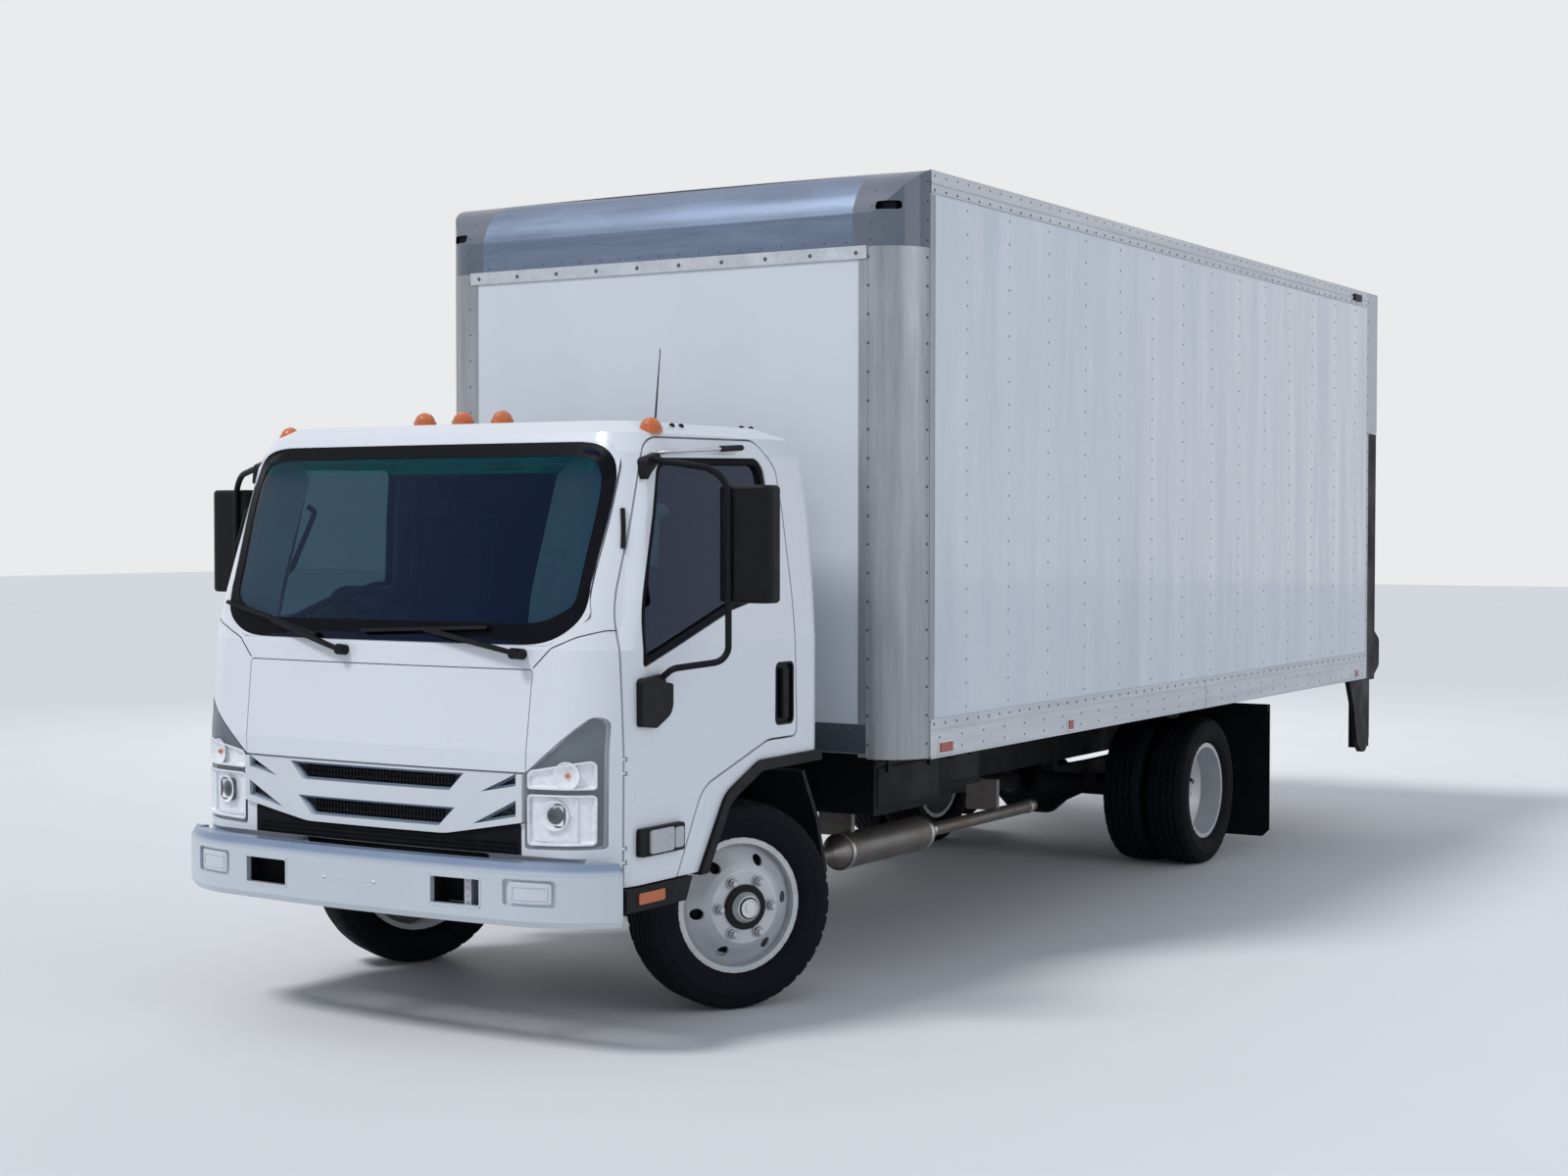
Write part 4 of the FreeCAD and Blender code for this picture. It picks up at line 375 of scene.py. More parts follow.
def add_slat(bm, points, z, ahead, behind, half):
    """A level slat of short boxes that follows a curved face."""
    for near, far in zip(points, points[1:]):
        front, rear = min(near.y, far.y) - ahead, max(near.y, far.y) + behind
        add_box(bm, (near.x, front, z - half), (far.x, rear, z + half))


TUBE_SIDES = 14
BEND_STEPS = 6


def tube(name, points, radius, body, material, bends=0.03, taper=None):
    """A round bar along points with rounded bends."""
    points = [Vector(point) for point in points]
    route = [points[0]]
    for back, here, ahead in zip(points, points[1:], points[2:]):
        reach = min(bends, (back - here).length / 2.1, (ahead - here).length / 2.1)
        start = here.lerp(back, reach / (back - here).length)
        end = here.lerp(ahead, reach / (ahead - here).length)
        for step in range(BEND_STEPS + 1):
            share = step / BEND_STEPS
            route.append(start.lerp(here, share).lerp(here.lerp(end, share), share))
    route.append(points[-1])
    last = len(route) - 1
    bm = bmesh.new()
    rows = []
    side = (route[1] - route[0]).normalized().orthogonal().normalized()
    for index, point in enumerate(route):
        run = (route[min(index + 1, last)] - route[max(index - 1, 0)]).normalized()
        side = (side - run * side.dot(run)).normalized()
        other = run.cross(side)
        size = radius if taper is None else radius + (taper - radius) * index / last
        rows.append([bm.verts.new(point + (side * x + other * y) * size) for x, y in circle(TUBE_SIDES)])
    for near, far in zip(rows, rows[1:]):
        join_rings(bm, near, far)
    bm.faces.new(rows[0])
    bm.faces.new(list(reversed(rows[-1])))
    piece(name, bm, body, material, 50)


# Materials

def times(color, share, more=0.0):
    return tuple(min(1, part * share + more) for part in color)


class Finish:
    """A node material built step by step round one Principled shader."""

    def __init__(self, name, color, rough, metal=0.0, **inputs):
        self.material = bpy.data.materials.new(name)
        self.material.use_nodes = True
        self.tree = self.material.node_tree
        self.shader = self.tree.nodes["Principled BSDF"]
        self.height = None
        values = {"Base Color": (*color, 1), "Roughness": rough, "Metallic": metal}
        values.update((key.replace("_", " "), value) for key, value in inputs.items())
        for key, value in values.items():
            self.shader.inputs[key].default_value = value
        self.place = self.tree.nodes.new("ShaderNodeTexCoord").outputs["Object"]

    def join(self, start, end):
        self.tree.links.new(start, end)

    def node(self, kind, source, into="Vector", values=(), **settings):
        """The outputs of a node that reads a source."""
        node = self.tree.nodes.new(kind)
        for key, value in settings.items():
            setattr(node, key, value)
        for key, value in values:
            node.inputs[key].default_value = value
        self.join(source, node.inputs[into])
        return node.outputs

    def noise(self, scale, stretch=(1, 1, 1), detail=4.0, rough=0.55):
        """Noise over the object's own place, stretched by axis."""
        scales = [scale * part for part in stretch]
        mapped = self.node("ShaderNodeMapping", self.place, values=[("Scale", scales)])["Vector"]
        values = (("Scale", 1.0), ("Detail", detail), ("Roughness", rough))
        return self.node("ShaderNodeTexNoise", mapped, values=values)["Fac"]

    def wave(self, direction, scale, distortion=0.0):
        values = (("Scale", scale), ("Distortion", distortion))
        return self.node("ShaderNodeTexWave", self.place, values=values, bands_direction=direction)["Fac"]

    def cells(self, scale, feature="F1"):
        values = [("Scale", scale)]
        return self.node("ShaderNodeTexVoronoi", self.place, values=values, feature=feature)["Distance"]

    def spread(self, source, low, high, start=0.3, end=0.7):
        """A value from low to high as the source goes from start to end."""
        values = (("From Min", start), ("From Max", end), ("To Min", low), ("To Max", high))
        return self.node("ShaderNodeMapRange", source, "Value", values)["Result"]

    def tint(self, source, color, high, start=0.3, end=0.7, low=0):
        """Mixes another colour in, by a share that follows the source."""
        share = self.spread(source, low, high, start, end)
        mix = self.tree.nodes.new("ShaderNodeMix")
        mix.data_type = "RGBA"
        old = self.shader.inputs["Base Color"]
        if old.is_linked:
            self.join(old.links[0].from_socket, mix.inputs["A"])
        else:
            mix.inputs["A"].default_value = old.default_value
        mix.inputs["B"].default_value = (*color, 1)
        self.join(share, mix.inputs["Factor"])
        self.join(mix.outputs["Result"], old)
        return self

    def roughen(self, source, low, high, start=0.3, end=0.7):
        self.join(self.spread(source, low, high, start, end), self.shader.inputs["Roughness"])
        return self

    def bump(self, source, distance):
        """Adds relief of a real height in metres."""
        node = self.tree.nodes.new("ShaderNodeBump")
        node.inputs["Distance"].default_value = distance
        node.inputs["Strength"].default_value = 1.0
        self.join(source, node.inputs["Height"])
        if self.height:
            self.join(self.height, node.inputs["Normal"])
        self.height = node.outputs["Normal"]
        self.join(self.height, self.shader.inputs["Normal"])
        return self

    def soiled(self, patch, color, share, start, end, wear, grain, height):
        """Dirt in patches of their own roughness over a fine grain, as the last step of a finish."""
        return self.tint(patch, color, share, start, end).roughen(patch, *wear).bump(grain, height).material


def paint(name, color, rough=0.22, dirt=0.05):
    """Gloss paint with fine orange peel and a little road film."""
    look = Finish(name, color, rough, Coat_Weight=0.6, Coat_Roughness=0.06)
    return look.soiled(look.noise(2.2, (1, 1, 0.5)), (0.42, 0.42, 0.42), dirt, 0.45, 0.75,
                       (rough, rough + 0.1), look.noise(260, detail=1), 0.00004)


def bumper_paint_with_reflection():
    """Silver paint with a painted reflection: the bevel along the bumper's upper edge turns dark blue, as if
    it mirrored the sky.
    """
    look = Finish("bumper_silver_painted_reflection", (0.56, 0.615, 0.665), 0.34, 0.15, Coat_Weight=0.4,
                  Coat_Roughness=0.1)
    level = look.node("ShaderNodeSeparateXYZ", look.place)["Z"]
    # Painted reflection: above z 0.644 the colour turns dark blue, standing in for the sky mirrored on the
    # bevel.
    look.tint(level, (0.14, 0.205, 0.33), 0.9, 0.644, 0.668)
    return look.soiled(look.noise(2.6, (1, 1, 0.5)), (0.40, 0.42, 0.44), 0.18, 0.45, 0.75, (0.3, 0.46),
                       look.noise(260, detail=1), 0.00004)


def chassis_paint():
    """Black chassis paint with dust on it."""
    look = Finish("chassis_paint", (0.006, 0.007, 0.010), 0.5, Specular_IOR_Level=0.18)
    return look.soiled(look.noise(4, detail=6), (0.06, 0.057, 0.054), 0.14, 0.45, 0.8, (0.4, 0.75),
                       look.noise(120, detail=3), 0.0004)


def wheel_paint():
    """Satin silver with brake dust in patches."""
    look = Finish("wheel_silver_paint", (0.56, 0.58, 0.60), 0.34, 0.25)
    return look.soiled(look.noise(11, detail=6), (0.33, 0.31, 0.29), 0.35, 0.45, 0.8, (0.28, 0.5),
                       look.noise(300, detail=2), 0.00008)


def rubber(name):
    look = Finish(name, (0.005, 0.006, 0.010), 0.72, Specular_IOR_Level=0.1)
    return look.soiled(look.noise(7, detail=6), (0.08, 0.078, 0.075), 0.08, 0.4, 0.8, (0.62, 0.86),
                       look.noise(330, detail=3), 0.0003)


def sheet_white():
    """Pre-painted sheet: glossy, with upright waves between the posts, and painted reflections of those waves:
    darker blue streaks and lighter glints.
    """
    look = Finish("body_sheet", (0.57, 0.62, 0.69), 0.08, Coat_Weight=0.7, Coat_Roughness=0.02)
    wave = look.noise(3.0, (1, 1, 0.16), detail=2)
    ripple_and_glints = look.noise(6, (1, 1.4, 0.30), detail=2)
    # Noise for the painted reflection streaks; it also varies the roughness.
    film = look.noise(1.5, (1, 1.8, 0.30), detail=3)
    # Painted reflections: darker blue streaks and lighter glints in the colour stand for the waves mirroring
    # their surroundings.
    look.tint(film, (0.42, 0.48, 0.56), 0.40, 0.42, 0.72).tint(ripple_and_glints, (0.74, 0.78, 0.83), 0.16, 0.56, 0.72)
    quilt = look.wave("Y", math.pi / 10 / POST_PITCH, 1.0)
    return look.roughen(film, 0.05, 0.16).bump(wave, 0.035).bump(ripple_and_glints, 0.006).bump(quilt, 0.005).material


def aluminium(name, color, rough, stretch, streak=(0.35, 0.38, 0.42), amount=0.6):
    """Mill-finish sheet with rolling streaks and stains."""
    look = Finish(name, color, rough, 0.62)
    lines = look.noise(22, stretch, detail=6, rough=0.7)
    stain = look.noise(5, tuple(0.35 + 0.65 * part for part in stretch), detail=5)
    look.tint(lines, streak, amount, 0.35, 0.75).tint(stain, times(color, 1.35), amount * 0.5, 0.5, 0.75)
    look.roughen(stain, rough - 0.08, rough + 0.14)
    return look.bump(lines, 0.0003).bump(look.noise(2.5, stretch, detail=2), 0.006).material


def plastic(name, color, rough):
    """Moulded plastic with fine grain."""
    look = Finish(name, color, rough, Specular_IOR_Level=0.14)
    look.tint(look.noise(14), times(color, 1.9, 0.004), 0.25, 0.4, 0.8)
    look.roughen(look.noise(9), rough - 0.06, rough + 0.12)
    return look.bump(look.noise(420, detail=2), 0.00025).material


def steel(name, color, rough, metal=1.0, rust=0.0):
    look = Finish(name, color, rough, metal)
    patch = look.noise(6, detail=6)
    look.tint(look.noise(40, (1, 0.1, 1)), times(color, 0.55), 0.4, 0.4, 0.8)
    if rust:
        look.tint(patch, (0.22, 0.10, 0.05), rust, 0.48, 0.7)
    return look.roughen(patch, rough - 0.06, rough + 0.18).bump(look.noise(150, detail=3), 0.0002).material


def window_glass():
    look = Finish("tinted_window", (0.185, 0.275, 0.315), 0.0, Transmission_Weight=1.0, IOR=1.46,
                  Specular_IOR_Level=0.3, Specular_Tint=(0.10, 0.24, 0.75, 1))
    film = look.noise(3, detail=5)
    return look.roughen(film, 0.0, 0.02, 0.5, 0.8).bump(look.noise(2, detail=1), 0.0004).material


def lamp_cover():
    """Clear moulded cover that lets the lamp's own light and shade through."""
    look = Finish("lamp_cover", (0.90, 0.94, 1.0), 0.04, Alpha=0.05, Coat_Weight=0.3, Coat_Roughness=0.03)
    return look.bump(look.noise(3, detail=1), 0.0003).material


def lens(name, color, ribs=120):
    """Coloured lens with fine flutes."""
    look = Finish(name, color, 0.12, Transmission_Weight=0.35, IOR=1.49, Coat_Weight=0.5)
    return look.tint(look.noise(60), times(color, 0.6), 0.25).bump(look.wave("Z", ribs), 0.0008).material


def seat_cloth():
    """Woven seat cloth."""
    color = (0.013, 0.019, 0.034)
    look = Finish("seat_cloth", color, 0.9, Sheen_Weight=0.4)
    across, along = look.wave("X", 190, 1.5), look.wave("Z", 190, 1.5)
    look.tint(across, times(color, 2.4), 0.4, 0.2, 0.9).tint(look.noise(6), times(color, 1.7), 0.3, 0.4, 0.8)
    return look.bump(across, 0.0006).bump(along, 0.0006).material


def leather(name, color, rough):
    look = Finish(name, color, rough)
    return look.tint(look.noise(20), times(color, 1.8), 0.4).bump(look.cells(240), 0.0003).material


def mesh_screen():
    """Dark honeycomb behind the grille."""
    look = Finish("grille_net", (0.012, 0.013, 0.016), 0.45)
    cells = look.cells(75, "DISTANCE_TO_EDGE")
    look.tint(cells, (0.07, 0.075, 0.085), 0, 0.0, 0.12, 1)
    return look.bump(look.spread(cells, 1, 0, 0.0, 0.15), 0.004).material


def deck_plate():
    """Ribbed, galvanised deck plate."""
    look = Finish("deck_plate", (0.40, 0.42, 0.44), 0.42, 0.9)
    look.tint(look.noise(8, detail=6), (0.24, 0.24, 0.25), 0.5).roughen(look.noise(8, detail=6), 0.34, 0.6)
    return look.bump(look.wave("X", 22), 0.002).material


WHITE = paint("cab_paint", (0.71, 0.745, 0.79))
SILVER_PAINT = bumper_paint_with_reflection()
GRILLE_PAINT = paint("grille_paint", (0.64, 0.675, 0.715), 0.3, 0.12)
BLACK = plastic("black_plastic_grain", (0.006, 0.007, 0.010), 0.42)
TRIM = plastic("trim_grain", (0.013, 0.018, 0.030), 0.6)
RUBBER = rubber("seal_rubber")
TYRE = rubber("tyre_rubber")
CHASSIS = chassis_paint()
POSTS_METAL = aluminium("post_metal", (0.36, 0.38, 0.40), 0.42, (1, 1, 0.05), (0.19, 0.205, 0.23), 0.75)
# The nose's blue tone and blue streak colour are a painted reflection of the sky on the aluminium.
NOSE_METAL = aluminium("nose_metal_sky_reflection", (0.18, 0.23, 0.32), 0.38, (0.06, 1, 1), (0.10, 0.14, 0.21), 0.8)
RAIL_METAL = aluminium("rail_metal", (0.58, 0.61, 0.65), 0.40, (1, 0.03, 1))
ROOF_METAL = aluminium("roof_metal", (0.62, 0.64, 0.66), 0.62, (0.2, 1, 1), (0.42, 0.44, 0.46), 0.6)
CHROME = steel("chrome_bowl", (0.85, 0.87, 0.90), 0.08)
DARK_CHROME = steel("dark_chrome", (0.30, 0.34, 0.40), 0.2)
CLEAR = lamp_cover()
WINDOW = window_glass()
SHADE = Finish("shade_green", (0.0, 0.13, 0.12), 0.1, Alpha=0.15, Specular_IOR_Level=0.1).material
BOWL = steel("bowl_silver", (0.90, 0.92, 0.95), 0.16, 0.2)
LENS_BALL = Finish("projector_lens", (0.012, 0.017, 0.026), 0.08, Coat_Weight=0.3).material
# The lips' dark blue-grey is painted shade on the inner faces of the grille's openings.
LIP_SHADE = paint("lip_painted_shade", (0.20, 0.27, 0.38), 0.35, 0.1)
LINE = plastic("seam_shadow", (0.006, 0.007, 0.009), 0.8)
BRACKET = steel("bracket_zinc", (0.50, 0.52, 0.54), 0.45, 0.4)
AMBER = lens("amber_glass", (0.95, 0.20, 0.02))
RED = lens("red_glass", (0.60, 0.015, 0.015))
CLOTH = seat_cloth()
BRIGHT = steel("bright_bolt", (0.62, 0.63, 0.64), 0.3)
NUT = steel("nut_steel", (0.33, 0.34, 0.36), 0.3)
RIVET_DARK = steel("rivet_grey", (0.10, 0.11, 0.13), 0.4, 0.4)
RIVET_PALE = steel("rivet_pale", (0.25, 0.28, 0.33), 0.35, 0.2)
FRIT = Finish("frit_black", (0.002, 0.003, 0.006), 0.32, Specular_IOR_Level=0.07).material
LAMP_GREY = plastic("lamp_backing", (0.085, 0.105, 0.125), 0.3)
HUB = plastic("hub_black", (0.012, 0.012, 0.014), 0.45)
GUIDE = paint("guide_white", (0.82, 0.86, 0.90), 0.15)
CLEAR_RIBS = lens("clear_ribs", (0.78, 0.82, 0.85), 90)
COVER_GREY = paint("cover_grey", (0.60, 0.64, 0.68), 0.42, 0.2)
SKIRT = paint("skirt_grey", (0.06, 0.075, 0.09), 0.5, 0.3)
# The linings are real panels; their near-black colour is painted shade inside the cab.
LINING = plastic("lining_painted_shade", (0.016, 0.023, 0.040), 0.75)
GRAB = plastic("grab_grey", (0.16, 0.18, 0.20), 0.5)
GRIP = leather("grip_leather", (0.018, 0.019, 0.022), 0.45)

NODE_FINISH = (
    (WHITE, "cab_shell front_panel door_left door_right"),
    (SILVER_PAINT, "front_bumper"),
    (GRILLE_PAINT, "grille"),
    (BLACK, "arch_trims wipers front_mudguards mirror_left mirror_right"),
    (plastic("box_plastic", (0.008, 0.009, 0.012), 0.6), "battery_box"),
    (mesh_screen(), "grille_mesh"),
    (TRIM, "dashboard"),
    (leather("wheel_leather", (0.02, 0.021, 0.025), 0.5), "steering_wheel"),
    (RUBBER, "rear_mudflaps"),
    (CHASSIS, "ladder_frame front_axle rear_axle leaf_springs knuckle_left knuckle_right tie_rod"),
    (CHASSIS, "lift_columns lift_carriage fuel_tank radiator box_floor"),
    (steel("cast_metal", (0.05, 0.052, 0.056), 0.6, 0.5, 0.3), "engine_block driveline"),
    (steel("exhaust_metal", (0.24, 0.23, 0.22), 0.42, 0.8, 0.45), "exhaust"),
    (sheet_white(), "box_side_left box_side_right"),
    (paint("front_sheet", (0.66, 0.70, 0.745), 0.32, 0.12), "box_front_wall"),
    (POSTS_METAL, "box_corner_posts"),
    (NOSE_METAL, "box_nose"),
    (paint("cap_paint", (0.062, 0.085, 0.125), 0.45, 0.15), "box_corner_caps"),
    (ROOF_METAL, "box_roof"),
    (RAIL_METAL, "box_rails"),
    (paint("rear_frame_paint", (0.33, 0.38, 0.43), 0.4, 0.3), "box_rear_frame"),
    (paint("rear_door_paint", (0.72, 0.74, 0.76), 0.34, 0.15), "box_rear_door"),
    (RED, "box_lamps"),
    (deck_plate(), "lift_platform"),
    (WINDOW, "windscreen rear_window door_left_glass door_right_glass"),
    (CLEAR, "headlamps"),
    (AMBER, "roof_lamps"),
    (CLOTH, "seats"),
    (TYRE, "tyre_front_left tyre_front_right tyres_rear_left tyres_rear_right"),
    (wheel_paint(), "wheel_front_left wheel_front_right wheels_rear_left wheels_rear_right"),
)


def dress_nodes():
    """Puts a finish on every CAD node."""
    for material, names in NODE_FINISH:
        for name in names.split():
            NODES[name].data.materials.clear()
            NODES[name].data.materials.append(material)


# Camera, floor and light

IMAGE_WIDTH = 1600
FOCAL_PIXELS = 2341.7
SENSOR_WIDTH = 36
CAMERA_AT = Vector((5.6267, -10.3666, 1.8617))
CAMERA_YAW = 0.5492
CAMERA_PITCH = -0.0279
CAMERA_ROLL = -0.0006
FLOOR_HALF = 60


def camera():
    data = bpy.data.cameras.new("camera")
    data.sensor_width = SENSOR_WIDTH
    data.lens = FOCAL_PIXELS / IMAGE_WIDTH * SENSOR_WIDTH
    data.clip_end = 200
    thing = new_object("camera", data)
    turn = Matrix.Rotation(CAMERA_YAW, 4, "Z") @ Matrix.Rotation(math.pi / 2 + CAMERA_PITCH, 4, "X")
    thing.matrix_world = Matrix.Translation(CAMERA_AT) @ turn @ Matrix.Rotation(-CAMERA_ROLL, 4, "Z")
    bpy.context.scene.camera = thing


def backdrop():
    """A pale floor that keeps the shadow, and an even pale world that metal and glass show too."""
    bm = bmesh.new()
    bmesh.ops.create_grid(bm, x_segments=1, y_segments=1, size=FLOOR_HALF)
    mesh = bpy.data.meshes.new("floor")
    bm.to_mesh(mesh)
    bm.free()
    floor = new_object("floor", mesh)
    look = Finish("floor_pale", (0.72, 0.73, 0.74), 0.75)
    mesh.materials.append(look.tint(look.noise(0.8), (0.64, 0.65, 0.66), 0.2).material)
    world = bpy.data.worlds.new("world")
    bpy.context.scene.world = world
    world.use_nodes = True
    tree = world.node_tree
    sky = tree.nodes["Background"]
    shown = tree.nodes.new("ShaderNodeBackground")
    for node, color, strength in ((sky, (0.80, 0.87, 1.0, 1), 0.50), (shown, (0.86, 0.87, 0.88, 1), 0.95)):
        node.inputs["Color"].default_value = color
        node.inputs["Strength"].default_value = strength
    path = tree.nodes.new("ShaderNodeLightPath")
    seen = path.outputs["Is Camera Ray"]
    for kind in ("Is Glossy Ray", "Is Transmission Ray"):
        both = tree.nodes.new("ShaderNodeMath")
        both.operation = "ADD"
        both.use_clamp = True
        tree.links.new(seen, both.inputs[0])
        tree.links.new(path.outputs[kind], both.inputs[1])
        seen = both.outputs[0]
    mix = tree.nodes.new("ShaderNodeMixShader")
    for source, target in zip((seen, sky.outputs[0], shown.outputs[0]), mix.inputs):
        tree.links.new(source, target)
    tree.links.new(mix.outputs[0], tree.nodes["World Output"].inputs["Surface"])


def aim(thing, way):
    thing.rotation_euler = Vector(way).to_track_quat("-Z", "Y").to_euler()


def area_light(name, place, target, size, power, color=(1, 1, 1)):
    data = bpy.data.lights.new(name, "AREA")
    data.shape = "RECTANGLE"
    data.size, data.size_y = size
    data.energy = power
    data.color = color
    thing = new_object(name, data)
    thing.location = place
    aim(thing, Vector(target) - Vector(place))


def lights():
    """A high soft sun ahead of the left side, a fill beside it and a rim light from behind."""
    sun = bpy.data.lights.new("sun_light", "SUN")
    sun.energy = 1.75
    sun.angle = math.radians(14)
    aim(new_object("sun_light", sun), (0.35, 0.62, -1.0))
    area_light("side_light", (11, -2, 5), (0, 0.5, 1.6), (8, 4), 170, (0.95, 0.98, 1.0))
    area_light("rear_light", (-7, 9, 6), (0, 2, 1.5), (5, 4), 260)


# Cab, from outside

EYE_Z = 1.80
GLASS_SIDE = 0.045
GLASS_TOP = 0.05
GLASS_FOOT = 0.075
GLASS_END = 0.10
SHADE_DEPTH = 0.060


def windscreen():
    """A thin curved pane for the windscreen, its black border, a white fillet and a green upper band."""
    tree, rim = front_rim("windscreen", (0, EYE_Z), 0.025, 1.6)
    low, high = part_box("windscreen")

    def on_glass(lift):
        def place(u, v, out):
            hit = tree.ray_cast(before(u, v), BACK, 3.0)
            if hit[0] is None:
                inward = front_point(tree, u * 0.97, EYE_Z + (v - EYE_Z) * 0.97)
                hit = tree.find_nearest(Vector((u, inward.y, v)))
            return Vector((u, hit[0].y, v)) + Vector((u * 0.35, -1, 0.42)).normalized() * (out + lift)
        return place

    def width(point):
        if point.y > high.z - GLASS_END:
            return GLASS_TOP
        return GLASS_FOOT if point.y < low.z + GLASS_END else GLASS_SIDE
    pane = piece("windscreen_pane", slab(rim, on_glass(-0.0052), 0.005, 16), "cab", WINDOW)
    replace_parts(pane, "windscreen")
    outer = shrunk(softened(rim, 12), 0.001)
    inner = softened(shrunk(outer, width), 6)
    piece("windscreen_border", band(shrunk(outer, -0.004), inner, on_glass(0.0004), 0.0012), "cab", FRIT)
    piece("windscreen_fillet", band(shrunk(rim, -0.001), outer, on_glass(0.0020), 0.0022), "cab", WHITE)
    half = max(point.x for point in inner if point.y > high.z - 0.16) - 0.02
    level = max(point.y for point in inner) - 0.001
    shade = divided([(-half, level - SHADE_DEPTH, 0.02), (half, level - SHADE_DEPTH, 0.02),
                     (half - 0.02, level, 0.03), (0.02 - half, level, 0.03)], 0.04)
    piece("shade_band", slab(evened(shade, 0.04), on_glass(0.0002), 0.0006, 3), "cab", SHADE)


def window_seals():
    """Black rubber round each door window."""
    for side, sign in SIDES:
        tree = cast(f"door_{side}_glass")
        rim = found_rim(lambda y, z: tree.ray_cast(Vector((sign * 3, y, z)), Vector((-sign, 0, 0)), 2.4)[0],
                        (FRONT_AXLE - 0.38, 1.78), 1.2, 0.02)
        seal = band(shrunk(rim, 0.001), shrunk(rim, 0.026), on_side(tree, sign), 0.014)
        piece(f"window_seal_{side}", seal, f"door_{side}", RUBBER)


HANDLE_LOW = Vector((FRONT_AXLE + 0.036, 1.090))
HANDLE_HIGH = Vector((FRONT_AXLE + 0.164, 1.326))


def door_handles():
    """Black liner in the pocket of each door, with a pull across it."""
    low, high = HANDLE_LOW, HANDLE_HIGH
    outline = rectangle(*low, *high, 0.022, 0.03)
    for side, sign in SIDES:
        skin = side_point(cast(f"door_{side}"), low.x - 0.02, low.y, sign).x

        def in_pocket(depth):
            return lambda u, v, out: Vector((skin + sign * (out - depth), u, v))
        bm = slab(outline, in_pocket(0.0135), 0.0025, 3)
        band(shrunk(outline, -0.004), shrunk(outline, 0.005), in_pocket(0.0125), 0.0140, bm)
        add_box(bm, (skin - sign * 0.004, low.x + 0.030, low.y + 0.020),
                (skin + sign * 0.016, low.x + 0.072, high.y - 0.020), 0.008, 3)
        piece(f"door_handle_{side}", bm, f"door_{side}", BLACK)


MIRROR_LOW = (1.155, 1.60)
MIRROR_HIGH = (1.345, 1.98)


def mirror_glasses():
    """Reflecting glass on the back of each mirror head."""
    outline = rectangle(*MIRROR_LOW, *MIRROR_HIGH, 0.03, 0.05)
    for side, sign in SIDES:
        start = Vector((sign * (MIRROR_LOW[0] + MIRROR_HIGH[0]) / 2, FRONT_AXLE + 1, 1.78))
        back = cast(f"mirror_{side}").ray_cast(start, -BACK)[0].y
        glass = slab(outline, lambda u, v, out: Vector((sign * u, back + out, v)), 0.003, 2)
        piece(f"mirror_glass_{side}", glass, f"door_{side}", CHROME)


# Outlines and centres in the left headlamp, (x, z)
LAMP_EYE = (0.80, 0.86)
LAMP_BOXES = (
    [(0.676, 0.933, 0.012), (0.930, 0.938, 0.012), (0.930, 1.042, 0.02), (0.690, 1.000, 0.012),
     (0.676, 0.985, 0.012)],
    [(0.676, 0.735, 0.015), (0.928, 0.744, 0.015), (0.930, 0.920, 0.015), (0.676, 0.915, 0.015)],
)
LAMP_GUIDES = ((0.866, 0.752, 0.872, 0.905), (0.700, 0.752, 0.872, 0.758))
REFLECTOR = (0.835, 0.985)
PROJECTOR = (0.785, 0.845)
BEZEL = 0.043
BOWL_DEPTH = 0.012
BOX_DEPTH = 0.016
BOX_WALL = 0.006


def lamp_box(bm, tree, outline):
    """An open box sunk behind a front surface: a lip, a slanted wall and a floor that follows the surface."""
    foot = shrunk(outline, BOX_WALL * 2.2)
    centre = sum(foot, Vector((0, 0))) / len(foot)
    rings = [(outline, -0.003), (shrunk(outline, BOX_WALL), -0.003), (foot, -BOX_DEPTH)]
    for share in (0.75, 0.5, 0.25):
        rings.append(([centre + (p - centre) * share for p in foot], -BOX_DEPTH))
    rings.append(([centre], -BOX_DEPTH))
    rows = [[bm.verts.new(front_point(tree, *p, out)) for p in ring] for ring, out in rings]
    for near, far in zip(rows, rows[1:]):
        join_rings(bm, near, far)


